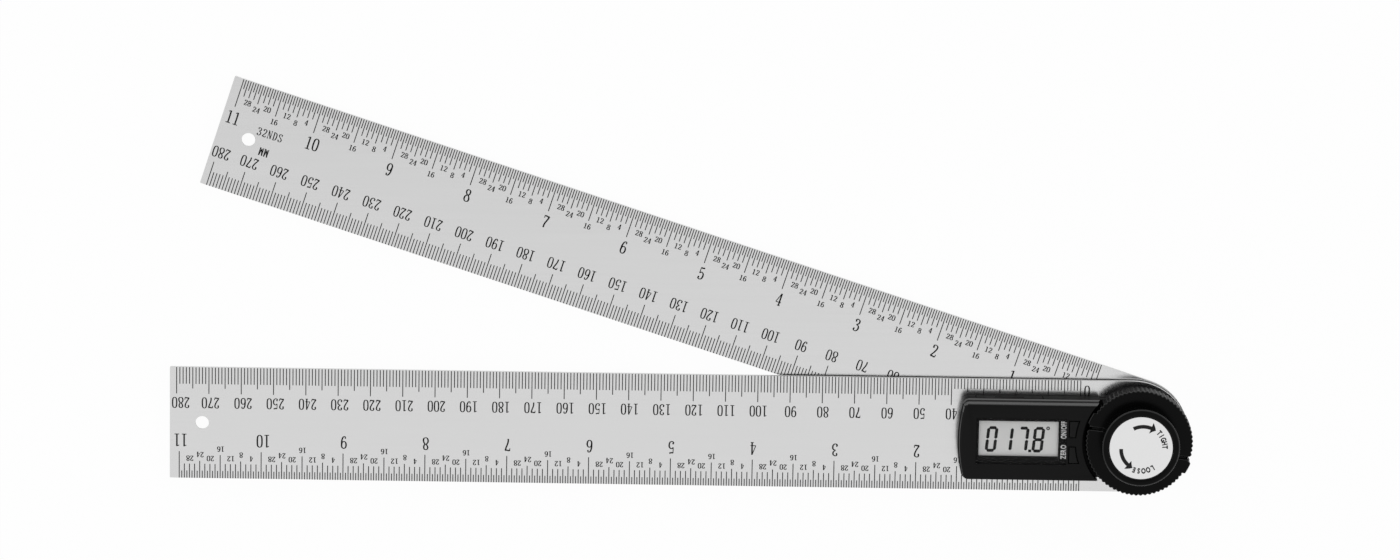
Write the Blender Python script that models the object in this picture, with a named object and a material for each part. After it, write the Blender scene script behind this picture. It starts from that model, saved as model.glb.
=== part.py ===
"""Digital angle finder: two steel rule arms on a clamped pivot, with a display housing.

Metres, +Z up out of the display. The pivot axis is the Z axis and the flat head of the
pivot bolt stands on Z = 0. The front arm lies along -X and carries the housing; the rear
arm lies under it, opened by OPEN_ANGLE towards +Y.
"""
import math

import bpy
import bmesh
from mathutils import Matrix

# Arms
ARM_REACH = 0.300
ARM_WIDTH = 0.035
ARM_THICKNESS = 0.0015
END_SETBACK = 0.0015
TIP_CORNER = 0.0002
HANG_HOLE_RADIUS = 0.0021
HANG_HOLE_INSET = 0.010
OPEN_ANGLE = math.radians(17.8)

# Clearances
SEAT_GAP = 0.0003
OVERRUN = 0.001

# Pivot bolt, washers and collar
HEAD_RADIUS = 0.011
HEAD_HEIGHT = 0.0015
HEAD_CHAMFER = 0.0004
NECK_RADIUS = 0.0052
SHANK_RADIUS = 0.0040
THREAD_RADIUS = 0.0030
THREAD_CHAMFER = 0.0005
FLAT_share = 0.8
WASHER_RADIUS = 0.0140
WASHER_THICKNESS = 0.0003
COLLAR_RADIUS = 0.0060
COLLAR_HEIGHT = 0.0029
SPRING_RADIUS = 0.0060
SPRING_SHEET = 0.0003
SPRING_CONE = 0.0003
STOP_HEAD_RADIUS = 0.0038
STOP_HEAD_HEIGHT = 0.0013
STOP_SHANK_RADIUS = 0.0012
STOP_SHANK_LENGTH = 0.0050
STOP_DRIVE_RADIUS = 0.0016
STOP_DRIVE_DEPTH = 0.0007

# Display housing
END_BAY = 0.0057
HOUSING_HEIGHT = 0.0100
HOUSING_WALL = 0.0016
HOUSING_ROOF = 0.0015
HOUSING_BOW = 0.0012
HOUSING_CORNER = 0.0022
TOP_CORNER = 0.0006
LEDGE_HEIGHT = 0.0065
LEDGE_RISE = 0.0003
LEDGE_INSET = 0.00035
SHOULDER_HEIGHT = 0.0092
SHOULDER_INSET = 0.00045
EDGE_ROUND = 0.0008
CRADLE_ROOM = 0.00065
CRADLE_WALL = 0.0013
COVER_INSET = 0.0010
COVER_HEIGHT = 0.0033
COVER_WALL = 0.0011
COVER_ROOF = 0.0008
NECK_HALF_WIDTH = 0.0092
FOOT_INSET = 0.0004
POST_RADIUS = 0.0017
POST_INSET = 0.0034
POST_SIDE_INSET = 0.0028
POST_BEHIND = 0.0032
CHASSIS_SHEET = 0.0006

# Window and display
WINDOW_LEFT_MARGIN = 0.0009
WINDOW_RIGHT_MARGIN = 0.0025
WINDOW_WIDTH = 0.0146
WINDOW_DEPTH = 0.0010
WINDOW_SHEET = 0.0005
VIEW_END = 0.0064
VIEW_WIDTH = 0.0110
VIEW_BEHIND = 0.0037
VIEW_RISE = 0.0007
GLASS_SHEET = 0.0008
GLASS_MARGIN = 0.0012
GLASS_WIDTH = 0.0130
GLASS_LEDGE = 0.0027
HOLDER_SHEET = 0.0003
HOLDER_WALL = 0.0004
HOLDER_LEG = 0.0006
HOLDER_LEG_LENGTH = 0.0015

# Circuit board and what stands on it
BOARD_SHEET = 0.0010
BOARD_BEHIND = 0.0071
BOARD_ROOM = 0.0004
BOARD_BORE = 0.0068
ROTOR_INSET = 0.0004
ROTOR_SHEET = 0.0006
RUBBER_THICKNESS = 0.0016
RUBBER_LENGTH = 0.0130
CHIP_LENGTH = 0.0060
CHIP_WIDTH = 0.0019
CHIP_HEIGHT = 0.0008
SWITCH_LENGTH = 0.0036
SWITCH_WIDTH = 0.0024
SWITCH_HEIGHT = 0.0008
PLUNGER_RADIUS = 0.0008
PLUNGER_HEIGHT = 0.0005

# Coin cell, its tray and its contacts
CELL_RADIUS = 0.0100
CELL_HEIGHT = 0.0032
CELL_CHAMFER = 0.0003
TRAY_SIDE = 0.0002
CELL_ROOM = 0.0011
TRAY_HEIGHT = 0.0039
TRAY_FLOOR = 0.0005
TRAY_END = 0.0013
TRAY_WINDOW_RADIUS = 0.0065
NAIL_LENGTH = 0.0090
NAIL_WIDTH = 0.0009
NAIL_DEPTH = 0.0005
RAIL_THICKNESS = 0.0005
RAIL_HEIGHT = 0.0036
RAIL_LENGTH = 0.0022
CONTACT_SHEET = 0.0002
CONTACT_WIDTH = 0.0020
CONTACT_FOOT = 0.0008
CONTACT_SPACE = 0.0010
CONTACT_ROOM = 0.0007
FINGER_SLOPE = 0.0030
PLUS_WIDTH = 0.0042

# Buttons
BUTTON_LENGTH = 0.0049
BUTTON_WIDTH = 0.0017
BUTTON_EDGE = 0.0022
BUTTON_OFFSET = 0.00405
BUTTON_PROUD = 0.0003
BUTTON_TRAVEL = 0.0005
BUTTON_FLANGE = 0.0006
STEM_WIDTH = 0.0012
STEM_LENGTH = 0.0024

# Housing screws
SCREW_SHANK_RADIUS = 0.0008
SCREW_HEAD_RADIUS = 0.0014
SCREW_HEAD_HEIGHT = 0.0008
SCREW_LENGTH = 0.0058
SCREW_SUNK = 0.0001

# Lock knob
KNOB_TURN = math.radians(-27.0)
KNOB_RADIUS = 0.0165
TOOTH_DEPTH = 0.0003
TOOTH_COUNT = 72
LUG_HEIGHT = 0.00055
LUG_HALF_ANGLE = math.radians(6.0)
RIM_LOW = 0.0037
RIM_CHAMFER = 0.0003
RIM_WALL = 0.0017
FLANGE_SHEET = 0.0016
BOSS_RADIUS = 0.0120
BOSS_HEIGHT = 0.0171
BOSS_ROUND = 0.0005
BOSS_WALL = 0.0014
BOSS_ROOF = 0.0011
HUB_RADIUS = 0.0070
RIB_THICKNESS = 0.0010
RIB_COUNT = 6
RIB_LOW = 0.0056
GROOVE_WIDTH = 0.0009
GROOVE_DEPTH = 0.0008
GROOVE_LAND = 0.0004
GROOVE_ANGLE = math.radians(18.0)
GROOVE_OFFSET = 0.0021
NOTCH_DEPTH = 0.0011
INSERT_RADIUS = 0.0050
INSERT_FLANGE_RADIUS = 0.0062
INSERT_FLANGE_SHEET = 0.0006
INSERT_TOP = 0.0125
LABEL_RADIUS = 0.0099
LABEL_SHEET = 0.0002
LABEL_PROUD = 0.0001
STOP_TRAVEL = 0.0008

# Levels, worked out from the pieces that lie on one another
REAR_LOW = HEAD_HEIGHT + SEAT_GAP
REAR_TOP = REAR_LOW + ARM_THICKNESS
WASHER_LOW = REAR_TOP + SEAT_GAP
WASHER_TOP = WASHER_LOW + WASHER_THICKNESS
FRONT_LOW = WASHER_TOP + SEAT_GAP
DECK = FRONT_LOW + ARM_THICKNESS
BASE = DECK + SEAT_GAP
ROOF = DECK + HOUSING_HEIGHT
CEILING = ROOF - HOUSING_ROOF
CHASSIS_TOP = BASE + CHASSIS_SHEET
BOARD_LOW = CHASSIS_TOP + SEAT_GAP
BOARD_TOP = BOARD_LOW + BOARD_SHEET
MOUNT_LEVEL = BOARD_TOP + SEAT_GAP
COVER_TOP = DECK + COVER_HEIGHT
COVER_CEILING = COVER_TOP - COVER_ROOF
CONTACT_TOP = BOARD_LOW + CONTACT_SHEET
TRAY_LOW = CONTACT_TOP + SEAT_GAP
TRAY_TOP = TRAY_LOW + TRAY_HEIGHT
CELL_LOW = TRAY_LOW + TRAY_FLOOR + SEAT_GAP
CELL_TOP = CELL_LOW + CELL_HEIGHT
HOLDER_LOW = CELL_TOP + SEAT_GAP
HOLDER_TOP = CEILING - SEAT_GAP
GLASS_TOP = HOLDER_TOP
GLASS_MID = GLASS_TOP - GLASS_SHEET
GLASS_LOW = GLASS_MID - GLASS_SHEET
COLLAR_TOP = BASE + COLLAR_HEIGHT
SPRING_LOW = COLLAR_TOP + SEAT_GAP
SPRING_TOP = SPRING_LOW + SPRING_SHEET + SPRING_CONE
INSERT_LOW = SPRING_TOP + SEAT_GAP
INSERT_SHOULDER = INSERT_LOW + INSERT_FLANGE_SHEET
INSERT_HIGH = DECK + INSERT_TOP
STOP_LOW = INSERT_HIGH + STOP_TRAVEL
BOLT_TOP = STOP_LOW - SEAT_GAP
HUB_FOOT = INSERT_SHOULDER + SEAT_GAP
KNOB_LOW = DECK + RIM_LOW
FLANGE_TOP = ROOF
BOSS_TOP = DECK + BOSS_HEIGHT
LABEL_TOP = BOSS_TOP + LABEL_PROUD
LABEL_LOW = LABEL_TOP - LABEL_SHEET
LABEL_SEAT = LABEL_LOW - SEAT_GAP
BUTTON_TOP = ROOF + BUTTON_PROUD
FLANGE_HIGH = CEILING - SEAT_GAP
PLUNGER_TOP = MOUNT_LEVEL + SWITCH_HEIGHT + PLUNGER_HEIGHT
STEM_LOW = PLUNGER_TOP + BUTTON_TRAVEL + SEAT_GAP

# Places, worked out in the same way
HALF_ARM = ARM_WIDTH / 2
CRADLE_RADIUS = KNOB_RADIUS + LUG_HEIGHT + CRADLE_ROOM
COVER_RADIUS = KNOB_RADIUS - COVER_INSET
BOARD_RADIUS = COVER_RADIUS - COVER_WALL - BOARD_ROOM
ROTOR_RADIUS = BOARD_RADIUS - ROTOR_INSET
BUTTON_ARC = CRADLE_RADIUS + BUTTON_EDGE
BUTTON_BACK = BUTTON_ARC + BUTTON_WIDTH
BOARD_BACK = BUTTON_BACK + BOARD_BEHIND
LEAF_RIGHT = -BOARD_BACK - CONTACT_ROOM
TRAY_RIGHT = LEAF_RIGHT - CONTACT_SHEET - SEAT_GAP
CELL_BACK = CELL_RADIUS + TRAY_SIDE - TRAY_RIGHT
TRAY_LEFT = TRAY_RIGHT - (CELL_RADIUS + TRAY_SIDE) * 2
HOUSING_LENGTH = END_BAY - TRAY_LEFT
VIEW_BACK = BOARD_BACK - VIEW_BEHIND
VIEW_LENGTH = HOUSING_LENGTH - VIEW_END - VIEW_BACK
WINDOW_BACK = VIEW_BACK - WINDOW_RIGHT_MARGIN
WINDOW_LENGTH = WINDOW_RIGHT_MARGIN + VIEW_LENGTH + WINDOW_LEFT_MARGIN
HALF_HOUSING = CELL_RADIUS + CELL_ROOM + HOUSING_WALL
CAVITY_HALF = HALF_HOUSING - HOUSING_WALL
CAVITY_ARC = CRADLE_RADIUS + CRADLE_WALL
POSTS_X = (-HOUSING_LENGTH + POST_INSET, -BOARD_BACK + POST_BEHIND)
POSTS_Y = (-HALF_HOUSING + POST_SIDE_INSET, HALF_HOUSING - POST_SIDE_INSET)
CELL_Y = HALF_HOUSING - HOUSING_WALL - CELL_RADIUS
POCKET_RADIUS = CELL_RADIUS + SEAT_GAP
TRAY_INNER = CELL_Y - POCKET_RADIUS - TRAY_END
GLASS_LEFT = -VIEW_BACK - VIEW_LENGTH - GLASS_MARGIN
GLASS_RIGHT = -VIEW_BACK + GLASS_MARGIN * 2
GLASS_STEP = GLASS_RIGHT - GLASS_LEDGE
PILOT_RADIUS = SCREW_SHANK_RADIUS + SEAT_GAP
FINGER_LEFT = -CELL_BACK - CONTACT_WIDTH
FINGER_FLAT = FINGER_LEFT + CONTACT_WIDTH
FINGER_RIGHT = FINGER_FLAT + FINGER_SLOPE
FINGER_FAR = CELL_Y - PLUS_WIDTH / 2 - CONTACT_SPACE
FINGER_NEAR = FINGER_FAR - CONTACT_WIDTH
CHIP_RIGHT = GLASS_STEP - SEAT_GAP
RUBBER_RIGHT = GLASS_STEP + GLASS_LEDGE - SEAT_GAP
HUB_BORE = INSERT_RADIUS + SEAT_GAP
STOP_BORE = STOP_HEAD_RADIUS + SEAT_GAP


def material(name, colour, roughness, metallic):
    """One Principled material with a plain colour."""
    skin = bpy.data.materials.new(name)
    skin.use_nodes = True
    shader = skin.node_tree.nodes["Principled BSDF"]
    shader.inputs["Base Color"].default_value = (*colour, 1)
    shader.inputs["Roughness"].default_value = roughness
    shader.inputs["Metallic"].default_value = metallic
    return skin


STEEL = ((0.62, 0.62, 0.61), 0.32, 1.0)
BLACK = ((0.012, 0.012, 0.013), 0.42, 0.0)
BRASS = ((0.60, 0.42, 0.16), 0.30, 1.0)
CLEAR = ((0.55, 0.57, 0.56), 0.08, 0.0)
PALE = ((0.70, 0.72, 0.68), 0.30, 0.0)
GREEN = ((0.03, 0.16, 0.07), 0.45, 0.0)
RUBBER = ((0.45, 0.46, 0.48), 0.80, 0.0)
WHITE = ((0.82, 0.82, 0.82), 0.45, 0.0)


def mesh_object(name, points, faces):
    """A closed mesh object whose faces all point outwards."""
    mesh = bpy.data.meshes.new(name)
    mesh.from_pydata(points, [], faces)
    work = bmesh.new()
    work.from_mesh(mesh)
    bmesh.ops.recalc_face_normals(work, faces=work.faces)
    work.to_mesh(mesh)
    work.free()
    item = bpy.data.objects.new(name, mesh)
    bpy.context.collection.objects.link(item)
    return item


def loft(name, sections):
    """Skin over (level, outline) sections that all have the same number of points."""
    points = [(x, y, level) for level, outline in sections for x, y in outline]
    count = len(sections[0][1])
    faces = [tuple(range(count - 1, -1, -1))]
    for ring in range(len(sections) - 1):
        start = ring * count
        for i in range(count):
            j = (i + 1) % count
            faces.append((start + i, start + j, start + count + j, start + count + i))
    faces.append(tuple(range((len(sections) - 1) * count, len(sections) * count)))
    return mesh_object(name, points, faces)


def slab(name, outline, low, high):
    """An outline in the XY plane drawn up from one level to another."""
    return loft(name, [(low, outline), (high, outline)])


def block(name, left, right, near, far, low, high):
    """A rectangular block between two corners."""
    outline = [(left, near), (right, near), (right, far), (left, far)]
    return slab(name, outline, low, high)


def circle(radius, steps, x=0.0, y=0.0):
    """Points round a circle."""
    turn = 2 * math.pi / steps
    return [(x + radius * math.cos(turn * i), y + radius * math.sin(turn * i)) for i in range(steps)]


def double_flat(radius, steps):
    """A circle with two parallel flats, for a shank that can't turn in its hole."""
    flat = radius * FLAT_share
    return [(x, max(-flat, min(flat, y))) for x, y in circle(radius, steps)]


def arc_points(radius, start, end, steps):
    """Points along an arc about the pivot axis, both ends included."""
    turns = [start + (end - start) * i / steps for i in range(steps + 1)]
    return [(radius * math.cos(turn), radius * math.sin(turn)) for turn in turns]


def keyhole(radius, half, back):
    """A disc on the pivot axis with a straight neck that runs back to -X."""
    inner = math.asin(half / radius)
    return [(-back, half), (-back, -half)] + arc_points(radius, math.pi + inner, 3 * math.pi - inner, 60)


def disc(name, radius, low, high, steps=48, x=0.0, y=0.0):
    """A plain upright cylinder."""
    return slab(name, circle(radius, steps, x, y), low, high)


def turned(name, profile, steps):
    """Turn a closed (radius, level) profile that stays off the axis about Z."""
    points = []
    for i in range(steps):
        angle = 2 * math.pi * i / steps
        points += [(r * math.cos(angle), r * math.sin(angle), z) for r, z in profile]
    count = len(profile)
    faces = []
    for i in range(steps):
        here, after = i * count, (i + 1) % steps * count
        for k in range(count):
            m = (k + 1) % count
            faces.append((here + k, after + k, after + m, here + m))
    return mesh_object(name, points, faces)


def ring(name, inner, outer, low, high, steps=48):
    """A flat washer shape."""
    return turned(name, [(inner, low), (outer, low), (outer, high), (inner, high)], steps)


def bent_sheet(name, path, sheet, near, far):
    """A strip of sheet metal bent along a path in the XZ plane, as wide as near to far."""
    upper, lower = [], []
    for i, (x, z) in enumerate(path):
        ax, az = path[max(i - 1, 0)]
        bx, bz = path[min(i + 1, len(path) - 1)]
        size = math.hypot(bx - ax, bz - az)
        nx, nz = -(bz - az) / size * sheet / 2, (bx - ax) / size * sheet / 2
        upper.append((x + nx, z + nz))
        lower.append((x - nx, z - nz))
    outline = upper + lower[::-1]
    points = [(x, near, z) for x, z in outline] + [(x, far, z) for x, z in outline]
    count, half = len(outline), len(path)
    faces = [(i, (i + 1) % count, count + (i + 1) % count, count + i) for i in range(count)]
    for i in range(half - 1):
        mirror = count - 1 - i
        faces.append((i, i + 1, mirror - 1, mirror))
        faces.append((count + mirror, count + mirror - 1, count + i + 1, count + i))
    return mesh_object(name, points, faces)


def combine(item, tool, operation):
    """Cut or join one solid with another, and take the tool away."""
    step = item.modifiers.new("step", "BOOLEAN")
    step.operation = operation
    step.solver = "EXACT"
    step.object = tool
    bpy.context.view_layer.update()
    made = item.evaluated_get(bpy.context.evaluated_depsgraph_get())
    mesh = bpy.data.meshes.new_from_object(made)
    item.modifiers.clear()
    item.data = mesh
    bpy.data.objects.remove(tool, do_unlink=True)
    return item


def cut(item, tool):
    """Take the tool's shape out of the item."""
    return combine(item, tool, "DIFFERENCE")


def fuse(item, tool):
    """Join the tool's shape to the item."""
    return combine(item, tool, "UNION")


def spin(item, angle):
    """Turn a solid about the pivot axis, in its own mesh."""
    item.data.transform(Matrix.Rotation(angle, 4, "Z"))
    return item


def finish(item, look, parent=None, origin=(0.0, 0.0, 0.0)):
    """Give a piece its material, its origin and what carries it."""
    colour, roughness, metallic = look
    item.data.materials.clear()
    item.data.materials.append(material(item.name, colour, roughness, metallic))
    item.data.transform(Matrix.Translation([-value for value in origin]))
    item.location = origin
    item.data.shade_smooth()
    item.data.set_sharp_from_angle(angle=math.radians(30))
    item.parent = parent
    return item


def axis_empty(name, angle):
    """An empty on the pivot axis that carries what turns there."""
    empty = bpy.data.objects.new(name, None)
    empty.rotation_euler = (0.0, 0.0, angle)
    bpy.context.collection.objects.link(empty)
    return empty


def arm_outline():
    """A straight rule with nearly square tip corners and a round end past the pivot."""
    steps = 32
    points = [(-ARM_REACH, -HALF_ARM + TIP_CORNER), (-ARM_REACH + TIP_CORNER, -HALF_ARM)]
    for i in range(steps + 1):
        angle = math.pi * (i / steps - 0.5)
        points.append((-END_SETBACK + HALF_ARM * math.cos(angle), HALF_ARM * math.sin(angle)))
    return points + [(-ARM_REACH + TIP_CORNER, HALF_ARM), (-ARM_REACH, HALF_ARM - TIP_CORNER)]


def make_arm(name, low):
    """One rule blade with its hanging hole, before the pivot hole is cut."""
    blade = slab(name, arm_outline(), low, low + ARM_THICKNESS)
    hole_x = -ARM_REACH + HANG_HOLE_INSET
    return cut(blade, disc("hole", HANG_HOLE_RADIUS, low - OVERRUN, DECK + OVERRUN, 32, hole_x))


def screw_places():
    """Where the four housing screws stand."""
    return [(x, y) for x in POSTS_X for y in POSTS_Y]


def make_front_blade():
    """The front arm: round pivot hole and four countersunk screw holes from below."""
    blade = make_arm("front_blade", FRONT_LOW)
    cut(blade, disc("bore", SHANK_RADIUS + SEAT_GAP, FRONT_LOW - OVERRUN, DECK + OVERRUN))
    sink_top = FRONT_LOW + SCREW_SUNK + SCREW_HEAD_HEIGHT + SEAT_GAP
    wide = SCREW_HEAD_RADIUS + SEAT_GAP
    for x, y in screw_places():
        narrow = circle(PILOT_RADIUS, 20, x, y)
        broad = circle(wide, 20, x, y)
        cut(blade, loft("sink", [(FRONT_LOW - OVERRUN, broad), (FRONT_LOW + SCREW_SUNK, broad),
                                 (sink_top, narrow), (DECK + OVERRUN, narrow)]))
    return finish(blade, STEEL)


def make_rear_blade(parent):
    """The rear arm: its pivot hole has two flats, so it turns with the bolt."""
    blade = make_arm("rear_blade", REAR_LOW)
    keyed = double_flat(NECK_RADIUS + SEAT_GAP, 48)
    cut(blade, slab("bore", keyed, REAR_LOW - OVERRUN, REAR_TOP + OVERRUN))
    return finish(blade, STEEL, parent)


def make_pivot_bolt(parent):
    """Flat head, a two-flat neck in the rear arm, a round shank, a keyed length and the thread."""
    steps = 48
    head = [(0.0, circle(HEAD_RADIUS - HEAD_CHAMFER, steps)), (HEAD_CHAMFER, circle(HEAD_RADIUS, steps)),
            (HEAD_HEIGHT, circle(HEAD_RADIUS, steps))]
    bolt = loft("pivot_bolt", head)
    fuse(bolt, slab("neck", double_flat(NECK_RADIUS, steps), HEAD_HEIGHT - OVERRUN, REAR_TOP))
    fuse(bolt, disc("shank", SHANK_RADIUS, REAR_TOP - OVERRUN, DECK))
    fuse(bolt, slab("key", double_flat(SHANK_RADIUS, steps), DECK - OVERRUN, COLLAR_TOP))
    round_rod = circle(THREAD_RADIUS, 32)
    thread = [(COLLAR_TOP - OVERRUN, round_rod), (BOLT_TOP - THREAD_CHAMFER, round_rod),
              (BOLT_TOP, circle(THREAD_RADIUS - THREAD_CHAMFER, 32))]
    fuse(bolt, loft("thread", thread))
    tapped = STOP_SHANK_RADIUS + SEAT_GAP
    cut(bolt, disc("tapped", tapped, STOP_LOW - STOP_SHANK_LENGTH - SEAT_GAP, BOLT_TOP + OVERRUN, 20))
    return finish(bolt, STEEL, parent)


def make_collar(parent):
    """The keyed collar presses on the front arm and turns with the bolt, not with the knob."""
    collar = disc("keyed_collar", COLLAR_RADIUS, BASE, COLLAR_TOP)
    bore = double_flat(SHANK_RADIUS + SEAT_GAP, 48)
    return finish(cut(collar, slab("bore", bore, BASE - OVERRUN, COLLAR_TOP + OVERRUN)), BRASS, parent)


def make_stop_screw(parent):
    """The screw in the bolt's end that keeps the knob on, with a round drive recess."""
    screw = disc("stop_screw", STOP_HEAD_RADIUS, STOP_LOW, STOP_LOW + STOP_HEAD_HEIGHT, 32)
    shank_low = STOP_LOW - STOP_SHANK_LENGTH
    fuse(screw, disc("shank", STOP_SHANK_RADIUS, shank_low, STOP_LOW + STOP_HEAD_HEIGHT / 2, 16))
    drive_low = STOP_LOW + STOP_HEAD_HEIGHT - STOP_DRIVE_DEPTH
    cut(screw, disc("drive", STOP_DRIVE_RADIUS, drive_low, drive_low + STOP_HEAD_HEIGHT, 6))
    return finish(screw, STEEL, parent)


def make_pivot_stack():
    """What turns with the rear arm."""
    parent = axis_empty("rear_arm_axis", -OPEN_ANGLE)
    make_rear_blade(parent)
    make_pivot_bolt(parent)
    washer_bore = SHANK_RADIUS + SEAT_GAP
    finish(ring("friction_washer", washer_bore, WASHER_RADIUS, WASHER_LOW, WASHER_TOP), WHITE, parent)
    make_collar(parent)
    rotor_bore = COLLAR_RADIUS + SEAT_GAP
    finish(ring("sensor_rotor", rotor_bore, ROTOR_RADIUS, BASE, BASE + ROTOR_SHEET, 64), GREEN, parent)
    make_stop_screw(parent)


def housing_outline(inset, arc, corner):
    """The housing seen from above: bowed end at -X, straight sides, concave end round the knob."""
    half = HALF_HOUSING - inset
    end = -HOUSING_LENGTH + inset
    edge = end + HOUSING_BOW
    reach = math.asin(half / arc)
    points = []
    for i in range(25):
        angle = math.pi + reach * (1 - i / 12)
        points.append((arc * math.cos(angle), arc * math.sin(angle)))
    for i in range(7):
        angle = math.pi / 2 * (1 + i / 6)
        points.append((edge + corner * (1 + math.cos(angle)), half + corner * (math.sin(angle) - 1)))
    for i in range(1, 12):
        y_share = 1 - i / 6
        points.append((end + HOUSING_BOW * y_share ** 2, y_share * (half - corner)))
    for i in range(7):
        angle = math.pi / 2 * (2 + i / 6)
        points.append((edge + corner * (1 + math.cos(angle)), -half + corner * (math.sin(angle) + 1)))
    return points


def housing_skin():
    """Outer form: a small ledge part way up the wall and a rounded upper edge."""
    levels = [(BASE, 0.0), (DECK + LEDGE_HEIGHT, 0.0), (DECK + LEDGE_HEIGHT + LEDGE_RISE, LEDGE_INSET),
              (DECK + SHOULDER_HEIGHT, SHOULDER_INSET)]
    rise = HOUSING_HEIGHT - SHOULDER_HEIGHT
    for i in range(1, 4):
        angle = math.pi / 2 * i / 3
        level = DECK + SHOULDER_HEIGHT + rise * math.sin(angle)
        levels.append((level, SHOULDER_INSET + EDGE_ROUND * (1 - math.cos(angle))))
    widest = levels[-1][1]
    sections = []
    for level, inset in levels:
        corner = HOUSING_CORNER + (TOP_CORNER - HOUSING_CORNER) * inset / widest
        sections.append((level, housing_outline(inset, CRADLE_RADIUS, corner)))
    return loft("display_housing", sections)


def button_outline(side, margin):
    """A button seen from above: straight at -X, its +X edge parallel to the knob."""
    low = side * BUTTON_OFFSET - BUTTON_LENGTH / 2 - margin
    high = low + BUTTON_LENGTH + 2 * margin
    arc = BUTTON_ARC - margin
    points = [(-BUTTON_BACK - margin, high), (-BUTTON_BACK - margin, low)]
    for i in range(9):
        y = low + (high - low) * i / 8
        points.append((-math.sqrt(arc ** 2 - y ** 2), y))
    return points


def add_posts(shell):
    """Screw posts that grow out of the roof and the side walls, with pilot holes."""
    for x, y in screw_places():
        fuse(shell, disc("post", POST_RADIUS, BOARD_LOW, CEILING + HOUSING_ROOF / 2, 24, x, y))
        cut(shell, disc("pilot", PILOT_RADIUS, BASE - OVERRUN, FRONT_LOW + SCREW_LENGTH + OVERRUN, 16, x, y))


def make_housing():
    """The moulded shell: cradle round the knob, low cover over the sensor, and all its openings."""
    shell = housing_skin()
    foot = min(HALF_HOUSING - FOOT_INSET, COVER_RADIUS - COVER_WALL)
    fuse(shell, slab("cover", keyhole(COVER_RADIUS, foot, CAVITY_ARC), BASE, COVER_TOP))
    cavity = housing_outline(HOUSING_WALL, CAVITY_ARC, HOUSING_CORNER / 2)
    cut(shell, slab("cavity", cavity, BASE - OVERRUN, CEILING))
    room = keyhole(COVER_RADIUS - COVER_WALL, NECK_HALF_WIDTH - COVER_WALL, CAVITY_ARC + OVERRUN)
    cut(shell, slab("sensor_room", room, BASE - OVERRUN, COVER_CEILING))
    cut(shell, disc("shaft_hole", BOARD_BORE, COVER_CEILING - OVERRUN, COVER_TOP + OVERRUN))
    half_window = WINDOW_WIDTH / 2
    cut(shell, block("recess", -WINDOW_BACK - WINDOW_LENGTH, -WINDOW_BACK, -half_window, half_window,
                     ROOF - WINDOW_DEPTH, ROOF + OVERRUN))
    view_low = VIEW_RISE - VIEW_WIDTH / 2
    cut(shell, block("view", -VIEW_BACK - VIEW_LENGTH, -VIEW_BACK, view_low, view_low + VIEW_WIDTH,
                     CEILING - OVERRUN, ROOF + OVERRUN))
    for side in (1, -1):
        cut(shell, slab("button_hole", button_outline(side, SEAT_GAP), CEILING - OVERRUN, ROOF + OVERRUN))
    cut(shell, block("door", TRAY_LEFT - SEAT_GAP, TRAY_RIGHT + SEAT_GAP, CAVITY_HALF - OVERRUN,
                     HALF_HOUSING + OVERRUN, TRAY_LOW - SEAT_GAP, TRAY_TOP + SEAT_GAP))
    add_posts(shell)
    return finish(shell, BLACK)


def make_chassis():
    """The flat carrier inside the shell, with screw holes and rails for the cell tray."""
    outline = housing_outline(HOUSING_WALL + SEAT_GAP, CAVITY_ARC + SEAT_GAP, HOUSING_CORNER / 2)
    chassis = slab("housing_chassis", outline, BASE, CHASSIS_TOP)
    reach = CAVITY_HALF - SEAT_GAP
    rail_top = CHASSIS_TOP + RAIL_HEIGHT
    for edge in (TRAY_LEFT - SEAT_GAP - RAIL_THICKNESS, TRAY_RIGHT + SEAT_GAP):
        for near in (-reach + POST_RADIUS + RAIL_LENGTH / 2, reach - 2 * POST_RADIUS - RAIL_LENGTH):
            far = near + RAIL_LENGTH
            fuse(chassis, block("rail", edge, edge + RAIL_THICKNESS, near, far, BASE, rail_top))
    for x, y in screw_places():
        cut(chassis, disc("hole", PILOT_RADIUS, BASE - OVERRUN, CHASSIS_TOP + OVERRUN, 16, x, y))
    return finish(chassis, BLACK)


def make_board():
    """The circuit board: a square end behind the cell bay, a neck and the ring of the sensor."""
    half = CAVITY_HALF - SEAT_GAP
    arc = CAVITY_ARC + SEAT_GAP
    neck = NECK_HALF_WIDTH - COVER_WALL - SEAT_GAP
    wide, narrow, inner = math.asin(half / arc), math.asin(neck / arc), math.asin(neck / BOARD_RADIUS)
    outline = [(-BOARD_BACK, half), (-BOARD_BACK, -half)]
    outline += arc_points(arc, math.pi + wide, math.pi + narrow, 6)
    outline += arc_points(BOARD_RADIUS, math.pi + inner, 3 * math.pi - inner, 60)
    outline += arc_points(arc, math.pi - narrow, math.pi - wide, 6)
    board = slab("circuit_board", outline, BOARD_LOW, BOARD_TOP)
    cut(board, disc("bore", BOARD_BORE, BOARD_LOW - OVERRUN, BOARD_TOP + OVERRUN))
    for x, y in screw_places():
        if x > -BOARD_BACK:
            room = POST_RADIUS + SEAT_GAP
            cut(board, disc("post_room", room, BOARD_LOW - OVERRUN, BOARD_TOP + OVERRUN, 24, x, y))
    return finish(board, GREEN)


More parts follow.
